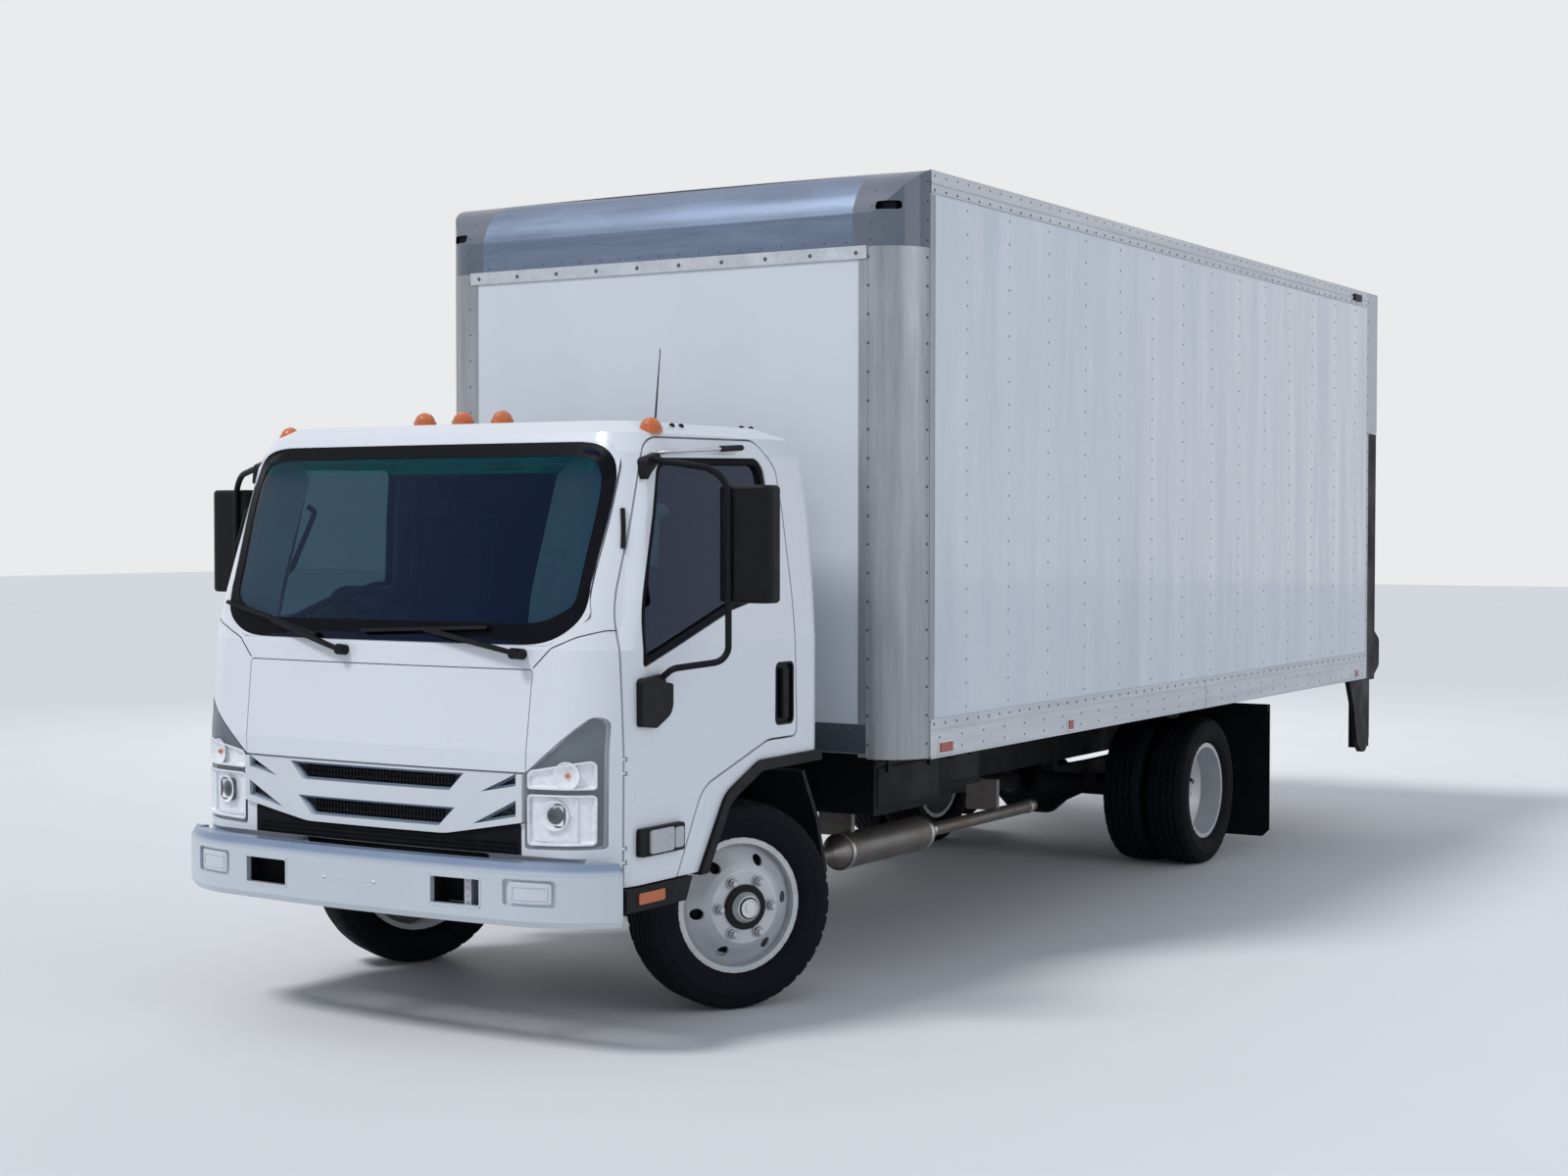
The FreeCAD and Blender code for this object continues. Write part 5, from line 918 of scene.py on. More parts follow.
def headlamps():
    """Clear covers over chromed boxes with a round reflector above and a projector below."""
    covers, boxes, backs, balls, bulbs, guides = (bmesh.new() for index in range(6))
    for side, sign in SIDES:
        tree, rim = front_rim("headlamps", (sign * LAMP_EYE[0], LAMP_EYE[1]), 0.02, 0.5)
        slab(shrunk(rim, 0.001), on_front(tree, -0.0035), 0.003, 8, covers)
        slab(shrunk(rim, 0.001), on_front(tree, -0.023), 0.004, 8, backs)
        for corners in LAMP_BOXES:
            lamp_box(boxes, tree, mirrored(divided(corners, 0.03), sign))

        def turned(bm, spot, depth, profile, steps):
            at = front_point(tree, sign * spot[0], spot[1], -depth)
            lathe(profile, steps, frame_at(at, (sign * 0.25, -1, 0)), bm)
        for spot, radius in ((REFLECTOR, 0.046), (PROJECTOR, 0.050)):
            bowl = [(radius * k / 8, BOWL_DEPTH * (k / 8) ** 2) for k in range(9)]
            turned(boxes, spot, BOX_DEPTH, bowl + [(radius + 0.004, BOWL_DEPTH)], 28)
        turned(balls, PROJECTOR, 0.014, [(0.0, 0.013), (0.016, 0.011), (0.028, 0.006), (0.034, 0.0)], 28)
        centre = Vector((sign * PROJECTOR[0], PROJECTOR[1]))
        square = [p + centre for p in rectangle(-BEZEL, -BEZEL, BEZEL, BEZEL, 0.014, 0.02)]
        band(square, shrunk(square, 0.007), on_front(tree, -0.014), 0.006, balls)
        turned(bulbs, REFLECTOR, 0.012, [(0.0, 0.010), (0.006, 0.008), (0.009, 0.002), (0.009, -0.004)], 16)
        for corners in LAMP_GUIDES:
            slab(mirrored(rectangle(*corners, 0, 0.03), sign), on_front(tree, -0.014), 0.006, 2, guides)
    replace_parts(piece("headlamp_covers", covers, "cab", CLEAR), "headlamps")
    piece("headlamp_boxes", boxes, "cab", BOWL)
    piece("headlamp_backs", backs, "cab", LAMP_GREY)
    piece("headlamp_projectors", balls, "cab", LENS_BALL)
    piece("headlamp_bulbs", bulbs, "cab", AMBER)
    piece("headlamp_guides", guides, "cab", GUIDE)


TURN_LAMP = (FRONT_AXLE - 0.755, 0.742)
# Name, two corners from the lamp's middle, thickness and finish
TURN_PARTS = (
    ("turn_lamp", (-0.135, -0.052), (0.137, 0.048), 0.022, BLACK),
    ("turn_lens", (-0.086, -0.044), (0.060, 0.040), 0.030, CLEAR_RIBS),
    ("turn_lens_rear", (0.072, -0.040), (0.126, 0.034), 0.026, CLEAR_RIBS),
)
STEP_REFLECTOR = (FRONT_AXLE - 0.81, 0.543)


def side_lamps():
    """Turn lamps low on the doors, a black housing with clear lenses, and reflectors on the steps below."""
    y, z = TURN_LAMP
    for side, sign in SIDES:
        place = on_side(cast(f"door_{side}"), sign)
        for name, low, high, thickness, material in TURN_PARTS:
            outline = rectangle(y + low[0], z + low[1], y + high[0], z + high[1], 0.012, 0.04)
            piece(f"{name}_{side}", slab(outline, place, thickness, 3), f"door_{side}", material)
    y, z = STEP_REFLECTOR
    outline = rectangle(y - 0.08, z - 0.02, y + 0.08, z + 0.02, 0.006, 0.05)
    trims = cast("arch_trims")
    for side, sign in SIDES:
        piece(f"step_reflector_{side}", slab(outline, on_side(trims, sign), 0.004, 2), "cab", AMBER)


PILLAR_ROUTE = ((0.905, 1.915), (0.918, 1.845), (0.927, 1.775))


def pillar_strips():
    """Short black vent strips on the windscreen pillars."""
    tree = cast("cab_shell")
    for side, sign in SIDES:
        points = [front_point(tree, sign * x, z, 0.003) for x, z in PILLAR_ROUTE]
        tube(f"pillar_strip_{side}", points, 0.009, "cab", BLACK)


def antenna():
    """Thin rod on the roof's edge above the left door, and four studs on the roof."""
    tree = cast("cab_shell")
    foot = tree.ray_cast(Vector((0.84, FRONT_AXLE - 0.55, 4)), -UP)[0]
    rod = [foot - Vector((0, 0, 0.005)), foot + Vector((0.004, 0.03, 0.28))]
    tube("antenna", rod, 0.004, "cab", BLACK, taper=0.0016)
    bm = bmesh.new()
    for x, y in ((0.84, -0.44), (0.84, -0.38), (0.80, 0.10), (0.80, 0.17)):
        hit = tree.ray_cast(Vector((x, FRONT_AXLE + y, 4)), -UP)
        add_dome(bm, hit[0], hit[1], 0.012, 0.010)
    piece("roof_studs", bm, "cab", BLACK, None)


# The grille's openings, (x, z) or (x, z, radius): two in the middle, then the left side's slanted pair
OPENINGS = (
    [(-0.415, 0.977), (-0.350, 0.912, 0.015), (0.350, 0.912, 0.015), (0.415, 0.977)],
    [(-0.375, 0.852), (-0.303, 0.783, 0.015), (0.303, 0.783, 0.015), (0.375, 0.852)],
    [(0.489, 0.916), (0.637, 0.943), (0.637, 0.986)],
    [(0.454, 0.800), (0.637, 0.835), (0.637, 0.892)],
)
SLAT_HALF = 0.0012


def grille_trim():
    """Stepped lips inside the grille's openings, in a dark blue-grey that is painted shade, and a fine grid of
    slats before the mesh.
    """
    screen = cast("grille_mesh")
    lips, slats = bmesh.new(), bmesh.new()

    def before_mesh(u, v, out):
        return front_point(screen, u, v) + Vector((0, -0.006 - out, 0))
    for points, sign in [(points, 1) for points in OPENINGS] + [(points, -1) for points in OPENINGS[2:]]:
        rim = mirrored(evened(divided(points, 0.02), 0.012), sign)
        band(shrunk(rim, -0.001), shrunk(rim, 0.008), before_mesh, 0.012, lips)
    for points in OPENINGS[:2]:
        reach, low, high = abs(points[1][0]), points[1][1], points[0][1]
        for x in span(-reach, reach, 0.016):
            foot, head = front_point(screen, x, low + 0.004).y, front_point(screen, x, high - 0.004).y
            add_box(slats, (x - SLAT_HALF, min(foot, head) - 0.008, low + 0.002),
                    (x + SLAT_HALF, foot, high - 0.002))
        for z in span(low, high, 0.022)[1:-1]:
            across = [before_mesh(x, z, 0) for x in span(-reach, reach, 0.07)]
            add_slat(slats, across, z, 0.002, 0.0, SLAT_HALF)
    piece("grille_lips", lips, "cab", LIP_SHADE)
    piece("grille_slats", slats, "cab", BLACK, None)


INTAKE = [(-0.610, 0.699), (0.650, 0.699), (0.650, 0.820, 0.02), (0.330, 0.768, 0.2), (-0.330, 0.768, 0.2),
          (-0.610, 0.812, 0.02)]


def lower_intake():
    """Black intake between the grille and the bumper, with level slats."""
    tree = cast("cab_shell")

    def on_face(u, v, out):
        return Vector((u, front_point(tree, u, 0.72).y - out, v))
    bm = slab(divided(INTAKE, 0.03), on_face, 0.003)
    for z in (0.712, 0.728, 0.744):
        add_slat(bm, [on_face(x, z, 0.003) for x in span(-0.59, 0.63, 0.06)], z, 0.004, 0.002, 0.002)
    piece("lower_intake", bm, "cab", LINE)


COWL_SEAM = [Vector(point) for point in ((0.676, 1.356), (0.744, 1.426), (0.840, 1.466), (0.925, 1.489),
                                         (0.968, 1.490))]


def cowl_seams():
    """Panel joints from the front flap up to the pillars."""
    tree = cast("cab_shell", "front_panel", "windscreen")
    points = [near.lerp(far, step / 4) for near, far in zip(COWL_SEAM, COWL_SEAM[1:]) for step in range(4)]
    for side, sign in SIDES:
        seam = [front_point(tree, sign * p.x, p.y, 0.0004) for p in points + COWL_SEAM[-1:]]
        tube(f"cowl_seam_{side}", seam, 0.0018, "cab", LINE, 0.005)


# Left lamp recess and left tow opening in the bumper, (x low, z low, x high, z high)
RECESS = (0.672, 0.548, 0.828, 0.622)
TOW_OPENING = (0.342, 0.522, 0.558, 0.624)
FACE_Z = 0.505
TRAY_DEPTH = 0.070
PLATE_Z = 0.576


def bumper_trim():
    """Covers in the lamp recesses, bezels and dark trays in the tow openings, a bracket and a plate mount."""
    tree = cast("front_bumper")
    covers, bezels, trays = (bmesh.new() for index in range(3))
    for side, sign in SIDES:
        outline = rectangle(sign * RECESS[0], RECESS[1], sign * RECESS[2], RECESS[3], 0.012, 0.02)
        slab(outline, on_front(tree), 0.009, 5, covers)
        band(shrunk(outline, 0.012), shrunk(outline, 0.017), on_front(tree), 0.0115, covers)
        x_in, z_low, x_out, z_high = TOW_OPENING
        rim = evened(rectangle(sign * x_in, z_low, sign * x_out, z_high, 0.004, 0.02), 0.015)
        face = front_point(tree, sign * 0.45, FACE_Z).y
        band(shrunk(rim, -0.004), shrunk(rim, 0.004),
             lambda u, v, out: Vector((u, front_point(tree, u, FACE_Z).y + 0.022 - out, v)), 0.0235, bezels)
        band(shrunk(rim, -0.008), shrunk(rim, -0.003), lambda u, v, out: Vector((u, face + 0.022 + out, v)),
             TRAY_DEPTH, trays)
        add_box(trays, (sign * (x_in - 0.009), face + 0.020 + TRAY_DEPTH, z_low - 0.009),
                (sign * (x_out + 0.009), face + 0.025 + TRAY_DEPTH, z_high + 0.009))
    piece("fog_covers", covers, "root", COVER_GREY)
    piece("tow_bezels", bezels, "root", SILVER_PAINT)
    piece("tow_trays", trays, "root", LINE)
    bm = bmesh.new()
    face = front_point(tree, 0.484, FACE_Z).y
    add_box(bm, (0.468, face + 0.030, 0.515), (0.500, face + 0.036, 0.622), 0.001, 1)
    add_box(bm, (0.496, face + 0.034, 0.515), (0.500, face + 0.020 + TRAY_DEPTH, 0.622), 0.001, 1)
    for z in (0.535, 0.558, 0.581, 0.604):
        add_dome(bm, Vector((0.484, face + 0.030, z)), -BACK, 0.006, 0.004)
    piece("tow_bracket", bm, "root", BRACKET, None)
    line = [front_point(tree, x, PLATE_Z, 0.0002) for x in span(-0.157, 0.098, 0.04)]
    tube("bumper_line", line, 0.0012, "root", COVER_GREY, 0.004)
    bm = bmesh.new()
    for x in (-0.15, 0.09):
        add_dome(bm, front_point(tree, x, PLATE_Z), -BACK, 0.007, 0.004)
    piece("plate_screws", bm, "root", BRIGHT, None)


def mirror_stays():
    """A rod over each door with a black grip, from the pillar to the door's rear."""
    for side, sign in SIDES:
        tree = cast(f"door_{side}")
        front = side_point(tree, FRONT_AXLE - 0.66, 2.115, sign)
        rear = side_point(tree, FRONT_AXLE - 0.115, 2.145, sign)
        out = Vector((sign * 0.035, 0, 0.006))
        points = [front - out * 0.2, front + out, rear + out, rear - out * 0.2]
        tube(f"mirror_stay_{side}", points, 0.0065, f"door_{side}", BRIGHT, 0.02)
        grip = [(front + out).lerp(rear + out, share) for share in (0.68, 0.95)]
        tube(f"stay_grip_{side}", grip, 0.0115, f"door_{side}", BLACK)


# Inside the cab; y is measured from the front axle

PAD_VOXEL = 0.012
PAD_LESS = 0.012
PAD_SWELL = 0.022
CLOTH_FRAMES = 20
SEAM_WIDTH = 0.010
SEAT_INNER = 0.400
SEAT_OUTER = 0.860
# Name, side outline (y, z, radius), half width where it isn't the seat's, seams (axis, place, depth)
PADS = (
    ("cushion", ((-0.455, 1.172, 0.04), (-0.455, 1.300, 0.05), (-0.06, 1.285, 0.03),
                 (-0.03, 1.172, 0.02)), None,
     ((0, -0.125, 0.010), (0, 0.125, 0.010), (1, -0.33, 0.007))),
    ("back", ((-0.045, 1.19, 0.02), (-0.050, 1.30, 0.03), (0.065, 1.935, 0.05), (0.155, 1.925, 0.04),
              (0.055, 1.20, 0.02)), None,
     ((0, -0.12, 0.010), (0, 0.12, 0.010), (2, 1.50, 0.007), (2, 1.72, 0.007))),
    ("head", ((0.075, 1.945, 0.02), (0.085, 2.070, 0.035), (0.160, 2.070, 0.035),
              (0.150, 1.945, 0.02)), 0.135, ()),
)


def pad_mesh(name, points, x_low, x_high):
    """A closed form carried across from a side outline, moved inwards all round."""
    rim = split(shrunk(rounded(points), PAD_LESS), 0.03)
    bm = bmesh.new()
    near, far = ([bm.verts.new((x, p.x, p.y)) for p in rim] for x in (x_low + PAD_LESS, x_high - PAD_LESS))
    join_rings(bm, near, far)
    bm.faces.new(near)
    bm.faces.new(list(reversed(far)))
    return mesh_from(bm, name, None)


def evaluated(thing):
    graph = bpy.context.evaluated_depsgraph_get()
    graph.update()
    return bpy.data.meshes.new_from_object(thing.evaluated_get(graph))


def stuffed(mesh, seams):
    """A cover blown up by its filling no further than PAD_SWELL, with seams pressed in."""
    thing = new_object("stuffing", mesh)
    remesh = thing.modifiers.new("remesh", "REMESH")
    remesh.mode = "VOXEL"
    remesh.voxel_size = PAD_VOXEL
    even = evaluated(thing)
    thing.modifiers.clear()
    thing.data = even
    start = [vert.co.copy() for vert in even.vertices]
    cloth = thing.modifiers.new("cloth", "CLOTH")
    cloth.settings.use_pressure = True
    cloth.settings.uniform_pressure_force = 4
    cloth.settings.effector_weights.gravity = 0
    cloth.point_cache.frame_start = 1
    cloth.point_cache.frame_end = CLOTH_FRAMES
    for step in range(1, CLOTH_FRAMES + 1):
        bpy.context.scene.frame_set(step)
    swollen = evaluated(thing)
    for vert, old in zip(swollen.vertices, start):
        move = vert.co - old
        if move.length > PAD_SWELL:
            vert.co = old + move.normalized() * PAD_SWELL
    thing.modifiers.clear()
    thing.data = swollen
    bpy.context.scene.frame_set(1)
    for vert in thing.data.vertices:
        press = sum(depth * math.exp(-((vert.co[axis] - place) / SEAM_WIDTH) ** 2)
                    for axis, place, depth in seams)
        vert.co -= vert.normal * press
    thing.modifiers.new("smoother", "SUBSURF").levels = 1
    result = evaluated(thing)
    bpy.data.objects.remove(thing)
    result.shade_smooth()
    return result


def seats():
    """Stuffed cushions, backs and headrests on plain plinths."""
    a = FRONT_AXLE
    bm = bmesh.new()
    for side, sign in SIDES:
        x_low, x_high = sorted((sign * SEAT_INNER, sign * SEAT_OUTER))
        centre = (x_low + x_high) / 2
        add_box(bm, (x_low + 0.02, a - 0.38, 1.031), (x_high - 0.02, a + 0.01, 1.172), 0.015, 3)
        add_box(bm, (x_low + 0.03, a - 0.39, 1.075), (x_high - 0.03, a - 0.375, 1.15), 0.006)
        for x in (centre - 0.05, centre + 0.05):
            lathe([(0.006, 0.0), (0.006, 0.11)], 12, Matrix.Translation((x, a + 0.115, 1.87)), bm)
        for kind, points, half, seams in PADS:
            name = f"seat_{kind}_{side}"
            low, high = (centre - half, centre + half) if half else (x_low, x_high)
            start = pad_mesh(f"{name}_start", [(a + y, z, radius) for y, z, radius in points], low, high)
            origin = (centre, a, 0)
            mesh = stuffed(start, [(axis, origin[axis] + place, depth) for axis, place, depth in seams])
            mesh.name = name
            link(name, mesh, "cab", CLOTH)
    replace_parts(piece("seat_plinths", bm, "cab", TRIM), "seats")


WHEEL_RADIUS = 0.200
GRIP_RADIUS = 0.0162
STITCHED = (10, 11, 12, 13)


def steering_grip():
    """Leather grip with thicker stretches, and the horn pad, on the steering wheel."""
    turn = Matrix.Translation((-0.42, FRONT_AXLE - 0.60, 1.50)) @ Matrix.Rotation(math.radians(-32), 4, "X")
    bm = bmesh.new()
    rings = []
    for index, (x, y) in enumerate(circle(96)):
        size = GRIP_RADIUS + (0.0012 if index % 24 in STITCHED else 0.0)
        rings.append([bm.verts.new(turn @ Vector(((WHEEL_RADIUS + size * c) * x,
                                                  (WHEEL_RADIUS + size * c) * y, size * s)))
                      for c, s in circle(14)])
    for near, far in zip(rings, rings[1:] + rings[:1]):
        join_rings(bm, near, far)
    lathe([(0.0, 0.012), (0.036, 0.010), (0.056, 0.002), (0.060, -0.012), (0.060, -0.034)], 32, turn, bm)
    piece("steering_grip", bm, "steering_wheel", GRIP)


def dashboard():
    """Instrument hood, centre panel, vents, glove box and dials."""
    a = FRONT_AXLE
    bm = bmesh.new()
    add_box(bm, (-0.63, a - 0.90, 1.36), (-0.21, a - 0.725, 1.478), 0.03, 4)
    add_box(bm, (-0.13, a - 0.76, 1.12), (0.13, a - 0.683, 1.345), 0.015, 3)
    for x in (-0.78, -0.20, 0.20, 0.78):
        for row in range(5):
            z = 1.262 + 0.012 * row
            add_box(bm, (x - 0.05, a - 0.722, z), (x + 0.05, a - 0.696, z + 0.004), 0.001, 1)
    add_box(bm, (0.30, a - 0.722, 1.13), (0.70, a - 0.702, 1.245), 0.008)
    piece("dash_panels", bm, "cab", TRIM)
    bm = bmesh.new()
    for x in (-0.505, -0.335):
        lathe([(0.0, 0.002), (0.036, 0.002), (0.040, 0.006), (0.044, 0.002), (0.044, -0.01)], 32,
              frame_at((x, a - 0.7265, 1.418), (0, 1, 0.25)), bm)
    for x in (-0.07, 0.0, 0.07):
        lathe([(0.0, 0.020), (0.015, 0.019), (0.018, 0.0)], 24, frame_at((x, a - 0.683, 1.165), BACK), bm)
    piece("dash_dials", bm, "cab", DARK_CHROME)


LINING_OUTLINE = [(-0.90, 1.06, 0.04), (0.90, 1.06, 0.04), (0.80, 2.10, 0.08), (-0.80, 2.10, 0.08)]
CARD_OUTLINE = ((-0.78, 0.98, 0.05), (-0.30, 1.03, 0.15), (0.10, 1.07, 0.05), (0.10, 1.30, 0.05),
                (-0.78, 1.31, 0.05))
GRAB_ROUTE = ((-0.80, -0.62, 1.93), (-0.775, -0.60, 1.91), (-0.80, -0.71, 1.68), (-0.825, -0.73, 1.66))


def linings():
    """Linings of the back wall, roof and doors, the armrests and a grab handle; the linings are near-black,
    painted shade inside the cab.
    """
    a = FRONT_AXLE
    shell = cast("cab_shell")
    back = shell.ray_cast(Vector((0, a - 0.2, 1.3)), BACK)[0].y
    outer = evened(divided(LINING_OUTLINE, 0.05), 0.05)
    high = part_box("rear_window")[1].z - 0.012
    pane = evened(rectangle(-0.31, high - 0.26, 0.31, high, 0.05, 0.03), 0.03)
    eye = Vector((0, EYE_Z))
    inner = [min(pane, key=lambda q: (q - eye).angle(p - eye)) for p in outer]
    lining = band(outer, inner, lambda u, v, out: Vector((u, back - 0.001 - out, v)), 0.004)
    piece("cab_lining", lining, "cab", LINING)
    roof = shell.ray_cast(Vector((0, a - 0.2, 1.6)), UP)[0]

    def under_roof(u, v, out):
        hit = shell.ray_cast(Vector((u, v, 1.6)), UP)[0] or roof
        return Vector((u, v, hit.z - 0.001 - out))
    outline = rectangle(-0.74, a - 0.52, 0.74, a + 0.28, 0.06, 0.08)
    piece("headlining", slab(outline, under_roof, 0.006, 8), "cab", LINING)
    for side, sign in SIDES:
        door = cast(f"door_{side}")

        def inner_face(u, v, out):
            hit = door.ray_cast(Vector((sign * 0.7, u, v)), Vector((sign, 0, 0)))[0]
            return Vector(((hit.x if hit else sign * 0.95) - sign * (0.0005 + out), u, v))
        bm = slab(divided([(a + y, z, radius) for y, z, radius in CARD_OUTLINE], 0.05), inner_face, 0.005, 8)
        x = inner_face(a - 0.25, 1.17, 0).x
        add_box(bm, (x, a - 0.50, 1.15), (x - sign * 0.045, a - 0.05, 1.19), 0.012, 3)
        piece(f"door_card_{side}", bm, f"door_{side}", LINING)
    tube("grab_handle", [(x, a + y, z) for x, y, z in GRAB_ROUTE], 0.011, "cab", GRAB, 0.02)


# Chassis and lift gate

TANK_INNER = -0.43
# The battery box's two parts: (y low, y high, foot, how far its face lies in)
BOX_PARTS = ((-1.745, -1.120, 0.600, 0.0), (-1.060, -0.620, 0.640, 0.05))
EXHAUST_X = 0.55
EXHAUST_Z = 0.41
CLAMPS = ((-1.60, 0.083), (-0.86, 0.083), (-1.68, 0.036), (-0.74, 0.036), (0.33, 0.036))


def chassis_trim():
    """Straps and cap on the fuel tank, lids on the boxes and clamps on the exhaust."""
    low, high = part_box("fuel_tank")
    rim = rounded([(low.x, low.z, 0.06), (TANK_INNER, low.z, 0.004), (TANK_INNER, high.z, 0.004),
                   (low.x, high.z, 0.06)])
    bm = bmesh.new()
    for y in (low.y + 0.18, low.y + 0.64, low.y + 1.10):
        band(shrunk(rim, -0.0025), shrunk(rim, 0.001), lambda u, v, out: Vector((u, y + out, v)), 0.044, bm)
    lathe([(0.0, 0.030), (0.040, 0.030), (0.045, 0.022), (0.045, 0.0)], 28,
          frame_at((low.x + 0.002, low.y + 0.38, high.z - 0.11), (-1, 0, 0)), bm)
    piece("tank_straps", bm, "root", BRIGHT)
    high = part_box("battery_box")[1]
    bm = bmesh.new()
    for y_low, y_high, z, back in BOX_PARTS:
        x = high.x - back
        add_box(bm, (x - 0.001, y_low + 0.03, z + 0.03), (x + 0.004, y_high - 0.03, high.z - 0.075), 0.004)
        add_box(bm, (x - 0.02, y_low + 0.005, high.z - 0.065),
                (x + 0.006, y_high - 0.005, high.z - 0.045), 0.003)
        for y in (y_low + 0.12, y_high - 0.12):
            add_box(bm, (x, y - 0.015, high.z - 0.10), (x + 0.012, y + 0.015, high.z - 0.04), 0.004)
    piece("box_lids", bm, "root", BLACK)
    bm = bmesh.new()
    for y, radius in CLAMPS:
        lathe([(radius - 0.004, -0.012), (radius, -0.010), (radius, 0.010), (radius - 0.004, 0.012)], 32,
              frame_at((EXHAUST_X, y, EXHAUST_Z), BACK), bm)
    piece("exhaust_clamps", bm, "root", BRIGHT)


def lift_trim():
    """Tread ribs, edge caps and stiffeners on the platform."""
    low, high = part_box("lift_platform")
    bm = bmesh.new()
    for x in span(low.x + 0.06, high.x - 0.06, 0.062):
        add_box(bm, (x - 0.004, low.y - 0.0015, low.z + 0.12),
                (x + 0.004, low.y + 0.002, high.z - 0.03), 0.001, 1)
    for x in (low.x + 0.02, high.x - 0.02):
        add_box(bm, (x - 0.016, high.y - 0.001, low.z + 0.11),
                (x + 0.016, high.y + 0.010, high.z - 0.18), 0.003)
    for z in (low.z + 0.14, low.z + 0.62, low.z + 1.10):
        add_box(bm, (low.x + 0.05, high.y - 0.001, z - 0.02),
                (high.x - 0.05, high.y + 0.010, z + 0.02), 0.003)
    piece("platform_ribs", bm, "lift_platform", BRIGHT, None)


# Van body

def rivets(name, spots, material, sides=6):
    """Rivet heads at (point, normal, radius), all on the van body."""
    bm = bmesh.new()
    for point, normal, radius in spots:
        add_dome(bm, Vector(point), normal, radius, radius * 0.42, sides)
    piece(name, bm, "root", material, 180)


def wall_rivets():
    """Rivet columns over the wall posts and rows along the rails, each side."""
    for side, sign in SIDES:
        out = Vector((sign, 0, 0))
        spots = []
        for post in range(POST_COUNT):
            y = WALL_FRONT + FIRST_POST + post * POST_PITCH
            spots += [((sign * SIDE_X, y, z), out, 0.0062) for z in span(1.09, 3.18, RIVET_PITCH)]
        rivets(f"wall_rivets_{side}", spots, RIVET_PALE)
        spots = []
        for y in span(WALL_FRONT + 0.03, BODY_REAR - 0.03, RIVET_PITCH):
            spots.append(((sign * (RAIL_X - 0.002), y, BODY_TOP - 0.080), out, 0.0065))
            spots.append(((sign * (RAIL_X - 0.002), y, BODY_TOP - 0.022), out, 0.005))
            spots.append(((sign * RAIL_X, y, RAIL_LOW + 0.142), out, 0.0065))
        for y in span(WALL_FRONT + 0.08, BODY_REAR - 0.08, POST_PITCH / 2):
            spots += [((sign * RAIL_X, y, RAIL_LOW + rise), out, 0.0055) for rise in (0.035, 0.085)]
        for z in span(0.96, 2.95, 0.118):
            spots.append(((sign * SIDE_X, WALL_FRONT - 0.022, z), out, 0.0062))
            spots.append(((sign * (FLAT_HALF + 0.004), BODY_FRONT, z), (0, -1, 0), 0.0075))
            spots.append(((sign * SIDE_X, BODY_REAR + 0.020, z + 0.3), out, 0.0062))
        rivets(f"rail_rivets_{side}", spots, RIVET_DARK)


def header_rivets():
    """Bolts along the rail under the nose, a finer row above them, the caps' own rivets and a strip."""
    low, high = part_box("box_nose")
    spots = [((x, low.y, NOSE_FOOT - 0.024), (0, -1, 0), 0.0105)
             for x in span(-FLAT_HALF + 0.05, FLAT_HALF - 0.05, 0.216)]
    tree = cast("box_nose", "box_corner_caps")
    for x in span(-FLAT_HALF + 0.10, FLAT_HALF - 0.10, RIVET_PITCH):
        spots.append((front_point(tree, x, NOSE_FOOT + 0.022), (0, -1, 0.1), 0.0048))
    for side, sign in SIDES:
        for z in span(NOSE_FOOT + 0.03, BODY_TOP - 0.09, 0.062):
            spots.append((front_point(tree, sign * (high.x + 0.016), z), (0, -0.9, 0.5), 0.0055))
        for z in span(NOSE_FOOT + 0.03, BODY_TOP - 0.05, 0.07):
            spots.append(((sign * SIDE_X, WALL_FRONT - 0.02, z), (sign, 0, 0), 0.0055))
    rivets("header_rivets", spots, RIVET_DARK, 8)
    bm = bmesh.new()
    add_box(bm, (-FLAT_HALF, low.y - 0.0012, NOSE_FOOT - 0.050),
            (FLAT_HALF, low.y + 0.001, NOSE_FOOT + 0.004), 0.0005, 1)
    piece("header_strip", bm, "root", RAIL_METAL, None)


LIP_TOP = RAIL_LOW + 0.161
# Bright lips on the rails, then the joint in the lower one: (z low, z high, how far out, y low, y high)
RAIL_LIPS = (
    (LIP_TOP - 0.010, LIP_TOP + 0.001, 0.004, WALL_FRONT, BODY_REAR),
    (LIP_TOP - 0.045, LIP_TOP - 0.039, 0.003, WALL_FRONT, BODY_REAR),
    (RAIL_LOW, RAIL_LOW + 0.008, 0.004, WALL_FRONT, BODY_REAR),
    (BODY_TOP - 0.056, BODY_TOP - 0.050, 0.003, WALL_FRONT, BODY_REAR),
    (BODY_TOP - 0.094, BODY_TOP - 0.088, 0.003, WALL_FRONT, BODY_REAR),
    (RAIL_LOW + 0.002, LIP_TOP, 0.0035, WALL_FRONT + 3.10, WALL_FRONT + 3.115),
)
# Side markers in the lower rail: (y, half length)
MARKERS = ((-1.886, 0.066), (-0.636, 0.034), (3.642, 0.034))


